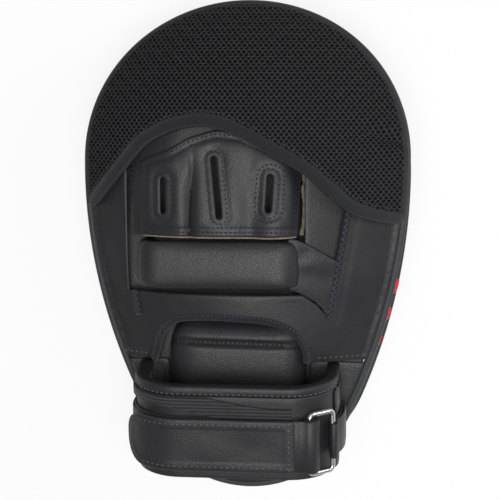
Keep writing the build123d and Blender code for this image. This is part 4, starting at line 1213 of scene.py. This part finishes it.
# %% Sums with node outputs
class Value:
    """An output of a node, which can be used in sums."""

    def __init__(self, finish, socket):
        self.finish, self.socket = finish, socket

    def sum(self, operation, first, second=None):
        return self.finish.node("ShaderNodeMath", {"operation": operation}, {0: first, 1: second})

    def __add__(self, other):
        return self.sum("ADD", self, other)

    def __sub__(self, other):
        return self.sum("SUBTRACT", self, other)

    def __rsub__(self, other):
        return self.sum("SUBTRACT", other, self)

    def __mul__(self, other):
        return self.sum("MULTIPLY", self, other)

    def __truediv__(self, other):
        return self.sum("DIVIDE", self, other)

    def __pow__(self, other):
        return self.sum("POWER", self, other)

    def __lt__(self, other):
        return self.sum("LESS_THAN", self, other)

    __radd__, __rmul__ = __add__, __mul__

    def turned(self, operation):
        """One of the other sums on a single value, such as SINE or FRACT."""
        return self.sum(operation, self)


class Finish:
    """A material, with short ways to place its nodes."""

    def __init__(self, name):
        self.material = bpy.data.materials.new(name)
        self.material.use_nodes = True
        self.tree = self.material.node_tree
        self.tree.nodes.clear()

    def node(self, kind, settings=None, sockets=None, output=0):
        """Places a node: its settings first, then its sockets' values or links."""
        made = self.tree.nodes.new(kind)
        for key, value in (settings or {}).items():
            if key == "stops":
                while len(made.color_ramp.elements) < len(value):
                    made.color_ramp.elements.new(0.5)
                for element, (place, colour) in zip(made.color_ramp.elements, value):
                    element.position, element.color = place, colour
            else:
                setattr(made, key, value)
        for key, value in (sockets or {}).items():
            if isinstance(value, Value):
                self.tree.links.new(value.socket, made.inputs[key])
            elif value is not None:
                made.inputs[key].default_value = value
        return Value(self, made.outputs[output]) if made.outputs else None

    def cloth(self):
        """Cloth coordinates of the piece, in millimetres."""
        return self.node("ShaderNodeAttribute", {"attribute_name": "cloth"}, output="Vector")

    def from_edge(self):
        """Distance from the piece's cut edge, in millimetres."""
        return self.node("ShaderNodeAttribute", {"attribute_name": "edge"}, output="Fac")

    def place(self):
        """Place in space, in millimetres."""
        spot = self.node("ShaderNodeTexCoord", output="Object")
        return self.node("ShaderNodeVectorMath", {"operation": "SCALE"}, {0: spot, "Scale": 1000.0})

    def stretched(self, vector, scale):
        return self.node("ShaderNodeVectorMath", {"operation": "MULTIPLY"}, {0: vector, 1: scale})

    def along(self, vector, axis):
        return self.node("ShaderNodeSeparateXYZ", None, {0: vector}, output=axis)

    def noise(self, vector, size, detail=2.0, rough=0.5):
        """Soft noise from 0 to 1, with lumps of about a size in millimetres."""
        return self.node("ShaderNodeTexNoise", None, {"Vector": vector, "Scale": 1.0 / size, "Detail": detail,
                                                      "Roughness": rough}, output="Fac")

    def cells(self, vector, size, feature="F1"):
        return self.node("ShaderNodeTexVoronoi", {"feature": feature}, {"Vector": vector, "Scale": 1.0 / size},
                         output="Distance")

    def step(self, value, low, high):
        """0 below low, 1 above high, and smooth between."""
        return self.node("ShaderNodeMapRange", {"interpolation_type": "SMOOTHSTEP", "clamp": True},
                         {"Value": value, "From Min": low, "From Max": high})

    def blend(self, share, first, second):
        return self.node("ShaderNodeMix", {"data_type": "RGBA"}, {0: share, 6: first, 7: second}, output=2)

    def bump(self, height, distance, under=None):
        return self.node("ShaderNodeBump", None, {"Height": height, "Distance": distance * MM, "Strength": 1.0,
                                                  "Normal": under})

    def finish(self, **sockets):
        """Ends in a surface, and returns the material."""
        surface = self.node("ShaderNodeBsdfPrincipled", None, {k.replace("_", " "): v for k, v in sockets.items()})
        self.node("ShaderNodeOutputMaterial", None, {"Surface": surface})
        return self.material


def colour(red, green, blue):
    """A screen colour, from 0 to 255, as the shader wants it."""
    channel = lambda c: c / 255 / 12.92 if c < 10.3 else ((c / 255 + 0.055) / 1.055) ** 2.4
    return (channel(red), channel(green), channel(blue), 1.0)


# %% Leather
def leather(name, base, high, rough=0.36, cut_edge=True, grain=0.85, depth=0.10):
    """Coated leather: a fine pebble grain, faint creases, and edges rubbed paler."""
    f = Finish(name)
    spot = f.place()
    pebbles = f.cells(spot, grain)
    fine = f.noise(spot, 0.35, 2.0)
    creases = f.cells(f.stretched(spot, (1.0, 1.6, 1.0)), 7.0, "DISTANCE_TO_EDGE")
    cloudy = f.noise(spot, 24.0, 3.0, 0.6)
    scuffs = f.step(f.noise(f.stretched(spot, (0.5, 1.4, 1.0)), 5.0, 4.0, 0.7), 0.60, 0.78)
    dust = f.step(f.noise(spot, 1.1, 3.0, 0.7), 0.68, 0.74)
    tone = f.blend(f.step(cloudy, 0.3, 0.7) * 0.6 + scuffs * 0.18, base, high)
    rubbed = tuple(min(1.0, c * 2.4 + 0.004) for c in high[:3]) + (1.0,)
    wear = dust * 0.10
    if cut_edge:
        near = 1.0 - f.step(f.from_edge() + f.noise(spot, 1.6) * 1.1, 0.5, 1.5)
        wear = wear + near * 0.35
    tone = f.blend(wear, tone, rubbed)
    tone = f.blend(f.step(pebbles, 0.15, 0.6) * 0.35, tone, base)
    gloss = rough + cloudy * 0.10 + scuffs * 0.08 + f.step(pebbles, 0.2, 0.7) * 0.12
    shallow = f.bump(f.step(creases, 0.0, 0.3) * 0.10 + f.noise(spot, 11.0, 2.0) * 1.6, 0.16)
    return f.finish(Base_Color=tone, Roughness=gloss, IOR=1.45, Specular_IOR_Level=0.42,
                    Normal=f.bump(pebbles * -1.0 + fine * 0.5, depth, shallow))


black = colour(31, 31, 33), colour(41, 41, 43)
FINISHES = {"black_leather": leather("black_leather_finish", *black)}
FINISHES["smooth_leather"] = leather("smooth_leather_finish", *black, cut_edge=False)
FINISHES["red_leather"] = leather("red_leather_finish", colour(190, 24, 30), colour(214, 38, 42), rough=0.4)
FINISHES["piping"] = leather("piping_finish", colour(46, 47, 50), colour(60, 61, 64), rough=0.5, cut_edge=False)
print("leathers:", list(FINISHES))


# %% Spacer mesh
def hex_rows(f, u, v, pitch, row):
    """Distance in millimetres to the nearest point of a brick-staggered lattice, squashed to ovals."""
    found = None
    for shift in (0.0, 0.5):
        du = ((u / pitch + (shift + 0.5)).turned("FRACT") - 0.5) * (pitch / 0.9)
        dv = ((v / (2 * row) + (shift + 0.5)).turned("FRACT") - 0.5) * (2 * row / 0.72)
        far = (du * du + dv * dv).turned("SQRT")
        found = far if found is None else found.sum("MINIMUM", found, far)
    return found


def spacer_mesh():
    """A knitted face with oval holes painted near black as the shade inside them, and yarns that cross between them."""
    f = Finish("spacer_mesh_finish")
    cloth = f.cloth()
    u, v = f.along(cloth, "X"), f.along(cloth, "Y")
    holes = hex_rows(f, u, v, HOLE_PITCH, HOLE_ROW)
    clear = f.step(f.from_edge(), 2.0, 3.5)
    # Painted shade: the holes are coloured near black for the shade inside them, over dimples that are only shallow.
    hole_shade = (1.0 - f.step(holes, 0.9, 1.35)) * clear
    knit = f.noise(f.stretched(cloth, (1.0, 1.7, 1.0)), 0.42, 2.0, 0.6)
    uneven = f.noise(cloth, 26.0, 2.0)
    yarn = f.blend(f.step(knit, 0.3, 0.7), colour(36, 36, 38), colour(60, 60, 62))
    yarn = f.blend(f.step(uneven, 0.3, 0.75) * 0.3, yarn, colour(40, 40, 42))
    # Painted shade: colour(4, 4, 5) fills the holes.
    tone = f.blend(hole_shade, yarn, colour(4, 4, 5))
    return f.finish(Base_Color=tone, Roughness=0.78 + knit * 0.15, Specular_IOR_Level=0.15, Normal=f.bump(f.step(holes, 0.6, 1.7) * clear + knit * 0.35, 0.45))


FINISHES["spacer_mesh"] = spacer_mesh()


# %% Tapes, webbing and elastic
def ribbed(name, low, high, pitch, across="X", slant=0.0, rough=0.75):
    """A narrow woven band: ribs at a pitch, crossed by finer yarns."""
    f = Finish(name)
    cloth = f.cloth()
    run, side = (f.along(cloth, "X"), f.along(cloth, "Y"))
    if across == "Y":
        run, side = side, run
    ribs = ((run + side * slant) * (2 * math.pi / pitch)).turned("SINE") * 0.5 + 0.5
    yarns = ((side - run * slant) * (2 * math.pi / (pitch * 0.62))).turned("SINE") * 0.5 + 0.5
    fuzz = f.noise(cloth, 0.5, 3.0, 0.7)
    height = ribs * 0.65 + yarns * 0.25 + fuzz * 0.3
    tone = f.blend(f.step(height, 0.25, 1.0), low, high)
    tone = f.blend(f.step(f.noise(f.place(), 13.0, 2.0), 0.35, 0.8) * 0.35, tone, low)
    return f.finish(Base_Color=tone, Roughness=rough + fuzz * 0.15, Specular_IOR_Level=0.3, Sheen_Weight=0.1,
                    Normal=f.bump(height, 0.30))


FINISHES["black_tape"] = ribbed("black_tape_finish", colour(13, 13, 16), colour(36, 37, 44), 1.1, slant=0.5)
FINISHES["grey_webbing"] = ribbed("grey_webbing_finish", colour(26, 26, 27), colour(58, 58, 59), 1.5)
FINISHES["ribbed_elastic"] = ribbed("ribbed_elastic_finish", colour(26, 26, 27), colour(56, 56, 58), 1.9, across="Y")


# %% Loop and hook fabric, lining and foam
def pile(name, low, high, tuft, depth, sheen=0.35):
    """A brushed or hooked face: clumps of fibre standing up."""
    f = Finish(name)
    spot = f.place()
    tufts = f.cells(spot, tuft)
    fibre = f.noise(spot, tuft * 0.35, 3.0, 0.8)
    matted = f.noise(spot, 6.0, 3.0, 0.6)
    height = fibre * 0.7 - tufts * 0.6 + matted * 0.5
    tone = f.blend(f.step(height, -0.1, 0.75), low, high)
    return f.finish(Base_Color=tone, Roughness=0.9, Specular_IOR_Level=0.2, Sheen_Weight=sheen, Sheen_Roughness=0.6,
                    Normal=f.bump(height, depth))


FINISHES["loop_fabric"] = pile("loop_fabric_finish", colour(14, 14, 15), colour(46, 46, 48), 0.9, 0.7)
FINISHES["hook_fabric"] = pile("hook_fabric_finish", colour(16, 16, 17), colour(50, 50, 52), 1.5, 0.8, 0.1)
FINISHES["lining_cloth"] = ribbed("lining_cloth_finish", colour(24, 24, 26), colour(40, 40, 42), 0.8)
FINISHES["gel_foam"] = pile("gel_foam_finish", colour(120, 122, 128), colour(150, 152, 158), 1.2, 0.1, 0.0)
FINISHES["core_foam"] = pile("core_foam_finish", colour(36, 36, 38), colour(60, 60, 62), 0.8, 0.15, 0.0)
FINISHES["soft_foam"] = pile("soft_foam_finish", colour(52, 52, 54), colour(72, 72, 74), 0.6, 0.12, 0.0)


# %% Thread, raw edges and nickel
def thread(name, low, high):
    """Twisted sewing thread: a fine slanting twist along each stitch."""
    f = Finish(name)
    cloth = f.cloth()
    twist = ((f.along(cloth, "X") * 9.0 + f.along(cloth, "Y") * 7.0)).turned("SINE") * 0.5 + 0.5
    tone = f.blend(twist * 0.7 + f.noise(f.place(), 4.0) * 0.3, low, high)
    return f.finish(Base_Color=tone, Roughness=0.5 + twist * 0.2, Specular_IOR_Level=0.4, Normal=f.bump(twist, 0.08))


FINISHES["dark_thread"] = thread("dark_thread_finish", colour(14, 15, 20), colour(34, 36, 46))
FINISHES["pale_thread"] = thread("pale_thread_finish", colour(60, 62, 66), colour(96, 98, 102))
FINISHES["hood_thread"] = thread("hood_thread_finish", colour(34, 35, 38), colour(62, 64, 68))
FINISHES["blue_thread"] = thread("blue_thread_finish", colour(36, 38, 52), colour(66, 68, 88))
FINISHES["raw_edge"] = pile("raw_edge_finish", colour(88, 78, 66), colour(140, 128, 112), 0.7, 0.3, 0.2)


def nickel():
    """Plated wire, a little dulled, with fine draw marks."""
    f = Finish("nickel_finish")
    spot = f.place()
    marks = f.noise(f.stretched(spot, (1.0, 1.0, 6.0)), 0.8, 3.0, 0.7)
    stain = f.step(f.noise(spot, 5.0, 3.0), 0.55, 0.8)
    tone = f.blend(stain * 0.5, colour(206, 206, 204), colour(150, 148, 142))
    return f.finish(Base_Color=tone, Metallic=1.0, Roughness=0.2 + marks * 0.14 + stain * 0.12,
                    Normal=f.bump(marks, 0.03))


FINISHES["nickel_wire"] = nickel()


def studio_floor():
    """Pale ground that looks white, and keeps a faint shadow."""
    f = Finish("floor_finish")
    seen = f.node("ShaderNodeLightPath", output="Is Camera Ray")
    ground = f.node("ShaderNodeBsdfDiffuse", None, {"Color": (0.8, 0.8, 0.8, 1.0)})
    white = f.node("ShaderNodeEmission", None, {"Color": (1, 1, 1, 1), "Strength": 1.0})
    both = f.node("ShaderNodeMixShader", None, {0: seen * 0.82, 1: ground, 2: white})
    f.node("ShaderNodeOutputMaterial", None, {"Surface": both})
    return f.material


floor_mesh.materials.append(studio_floor())
world_tree = world.node_tree
world_tree.nodes.clear()
path = world_tree.nodes.new("ShaderNodeLightPath")
seen = world_tree.nodes.new("ShaderNodeMath")
seen.operation, seen.use_clamp = "ADD", True
world_tree.links.new(path.outputs["Is Camera Ray"], seen.inputs[0])
world_tree.links.new(path.outputs["Is Transmission Ray"], seen.inputs[1])
strength = world_tree.nodes.new("ShaderNodeMapRange")
strength.inputs["To Min"].default_value, strength.inputs["To Max"].default_value = 0.26, 1.0
world_tree.links.new(seen.outputs[0], strength.inputs["Value"])
sky = world_tree.nodes.new("ShaderNodeBackground")
world_tree.links.new(strength.outputs[0], sky.inputs["Strength"])
sky.inputs["Color"].default_value = (1, 1, 1, 1)
world_out = world_tree.nodes.new("ShaderNodeOutputWorld")
world_tree.links.new(sky.outputs[0], world_out.inputs["Surface"])



# %% [markdown]
# ## Sewing it together
# The rows of stitches follow the edges of the pieces, a little way in. The slotted panel is sewn with two
# rows all round and a row round each slot. The flap, the cuff and the hood show paler dashes along their
# bound edges, and the thumb seam is a tape held by a zigzag.

# %% Lines beside an edge
def beside(outline, distance, closed=True):
    """A line at a distance to the left of an outline."""
    outline = np.asarray(outline, float)
    if closed:
        ahead = np.roll(outline, -1, 0) - np.roll(outline, 1, 0)
    else:
        ahead = np.gradient(outline, axis=0)
    ahead /= np.maximum(np.linalg.norm(ahead, axis=1), 1e-9)[:, None]
    return outline + distance * np.stack([-ahead[:, 1], ahead[:, 0]], 1)


def top_of(place, thickness, loops, relief=None):
    """The outside face of a panel, with its relief, as a form to sew on."""
    loops = [np.asarray(loop, float) for loop in loops]

    def outside(uv):
        extra = relief(uv, edge_distance(uv, loops)) if relief else 0.0
        return place(uv) + surface_normals(place, uv) * (thickness + extra + np.zeros(len(uv)))[:, None]
    return outside


panel_uv = closed_points(tunnel_uv(panel_outline), 2.0)
panel_face = top_of(on_fingers(0.2), 2.0, [panel_uv, *slots], panel_relief)
for row in (2.2, 4.6):
    stitch("finger_panel_thread", panel_face, beside(panel_uv, row), closed=True)
for loop, rows in zip(slots, ((3.0,), (3.0,), (3.0, 5.2))):
    for row in rows:
        stitch("finger_panel_thread", panel_face, beside(loop, row), closed=True)
for row in (-2.0, -4.4):
    edge_line = [(u, v) for u, v in
                 [(-43.5 + row, 56), (-46.0 + row, 50), (-46.5 + row, 34), (-44.0 + row, 22), (-41.0 + row, 11)]]
    stitch("finger_panel_thread", on_fingers(0.0), smooth_line(edge_line, 40), lift=0.05)
sew("finger_panel_thread", "grey_webbing")

stitch("seam_thread", on_cover(0.9), np.array([(seam_at(y), y) for y in np.linspace(29, -34.8, 60)]), pitch=1.7,
       length=3.9, radius=0.32, cross=0.95)
stitch("seam_thread", on_cover(0.9), tack_line, pitch=1.5, length=3.6, radius=0.32, cross=1.05)
stitch("seam_thread", on_cover(0.75), beside(notch_mid, -0.9, closed=False), pitch=2.3, radius=0.34)
for row in (1.2, 3.0):
    stitch("seam_thread", top_of(on_cover(-0.9), 1.6, [np.array(wing_outline)]),
           [(31.0, 9.3 - row), (36.0, 6.8 - row), (43.5, 2.2 - row), (50.0, -2.9 - row)], radius=0.34)
stitch("seam_thread", top_of(on_cover(-0.9), 1.6, [np.array(wing_outline)]),
       [(29.0, -16.6), (39.4, -22.9), (43.2, -27.0), (46.0, -31.6)], radius=0.34)
sew("seam_thread", "black_tape")

hood_row = beside(binding_line, 4.9, closed=False)
stitch("pale_edge_thread", on_hood(0.35), hood_row, pitch=3.0, length=1.9, radius=0.33)
flap_face = top_of(on_cuff(4.2), 2.0, [closed_points(flap_outline, 2.0)], flap_relief)
sew("pale_edge_thread", "grey_webbing")
stitch("flap_thread", flap_face, beside(closed_points(flap_outline, 2.0), 2.9), closed=True, pitch=3.2, length=2.1,
       radius=0.36)
sew("flap_thread", "grey_webbing", body="flap")
stitch("cuff_thread", on_cuff(0.72), [(u, 22.3) for u in np.linspace(-80, 80, 120)], pitch=3.0, length=1.9, radius=0.34)
stitch("cuff_thread", on_cuff(1.45), [(u, v) for u, v in zip(np.full(30, keeper_top + 1.8), np.linspace(22, -17, 30))],
       pitch=3.0, length=1.9, radius=0.34)
hem_y = -58.0
stitch("cuff_thread", on_cover(0.0), [(x, hem_y) for x in np.linspace(-70, -54, 10)], lift=0.0, pitch=3.0)
stitch("cuff_thread", on_cover(0.0), [(x, hem_y) for x in np.linspace(41, 68, 14)], lift=0.0, pitch=3.0)
stitch("cuff_thread", on_pad(1.4), [(x, -64.6) for x in np.linspace(58, 66, 6)], lift=0.0, pitch=3.0)
sew("cuff_thread", "grey_webbing")


def on_cushion(uv):
    """The top of the blown cushion, found from its own points."""
    top = cushion_points[cushion_points[:, 2] > floor_of + 5]
    near = np.array([top[np.argsort(((top[:, :2] - p) ** 2).sum(1))[:3], 2].mean() for p in uv])
    return np.stack([uv[:, 0], uv[:, 1], near], 1)


cushion_seam = np.array([(x, -50.5 - 0.02 * x) for x in np.linspace(-38, 32, 60)])
seam_points, seam_normals = on_cushion(cushion_seam), np.tile([0.0, 0.0, 1.0], (60, 1))
stitch_groups["cushion_thread"] = []
stitch("cushion_thread", lambda uv: np.stack([uv[:, 0], uv[:, 1], np.interp(uv[:, 0], seam_points[:, 0], seam_points[:, 2])], 1),
       cushion_seam, pitch=2.6, lift=0.15)
sew("cushion_thread", "black_tape")

# %% Raw leather edges
def raw_strip(name, line, place, width, height, wobble):
    """The pale cut edge of a lining, which waves where it has come loose."""
    line = smooth_line(line, 90)
    line[:, 0] += wobble * np.sin(np.linspace(0, 31, 90)) * np.sin(np.linspace(0.4, 3.0, 90) ** 2)
    path, normals = line_on(place, line, 0.8)
    sweep(name, path, normals, half_round(width, height, count=7, sunk=0.8), "lining_cloth")


panel_low = tunnel_uv([(-53, 10.3), (-30, 10.1), (-5, 10.2), (15, 10.0), (29.5, 10.3)])
raw_strip("panel_raw_edge", panel_low, on_fingers(0.9), 0.9, 0.5, 0.25)
side_line = [(51.5, 45.0), (55.0, 39.0), (52.5, 34.0), (55.5, 27.0), (54.5, 19.0), (51.5, 10.5)]
raw_strip("tunnel_raw_edge", side_line, on_fingers(1.4), 2.0, 1.1, 0.8)

# %% [markdown]
# ## Dressing
# Each piece takes the finish of its slot in the record, except for a few that share a slot but not a look.

# %% Dress every piece
ALSO = {"knuckle_bar_leather": "smooth_leather", "palm_cushion_leather": "smooth_leather",
        "cuff_front_binding": "smooth_leather", "keeper_tab_leather": "smooth_leather",
        "strike_edge_piping": "piping", "back_edge_piping": "piping", "upper_side_band": "piping",
        "lower_side_band": "piping", "strike_side_wall": "smooth_leather", "ribbed_elastic": "ribbed_elastic",
        "finger_panel_thread": "dark_thread", "seam_thread": "blue_thread", "pale_edge_thread": "hood_thread",
        "flap_thread": "pale_thread", "cuff_thread": "pale_thread", "cushion_thread": "dark_thread", "panel_raw_edge": "raw_edge",
        "tunnel_raw_edge": "raw_edge", "ring": "nickel_wire"}
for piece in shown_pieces():
    wanted = ALSO.get(piece.name, piece.get("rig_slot"))
    if wanted is None:
        print("no finish for", piece.name)
        continue
    if piece.data.materials:
        for k in range(len(piece.data.materials)):
            piece.material_slots[k].link = "OBJECT"
            piece.material_slots[k].material = FINISHES[wanted]
    else:
        piece.data.materials.append(FINISHES[wanted])
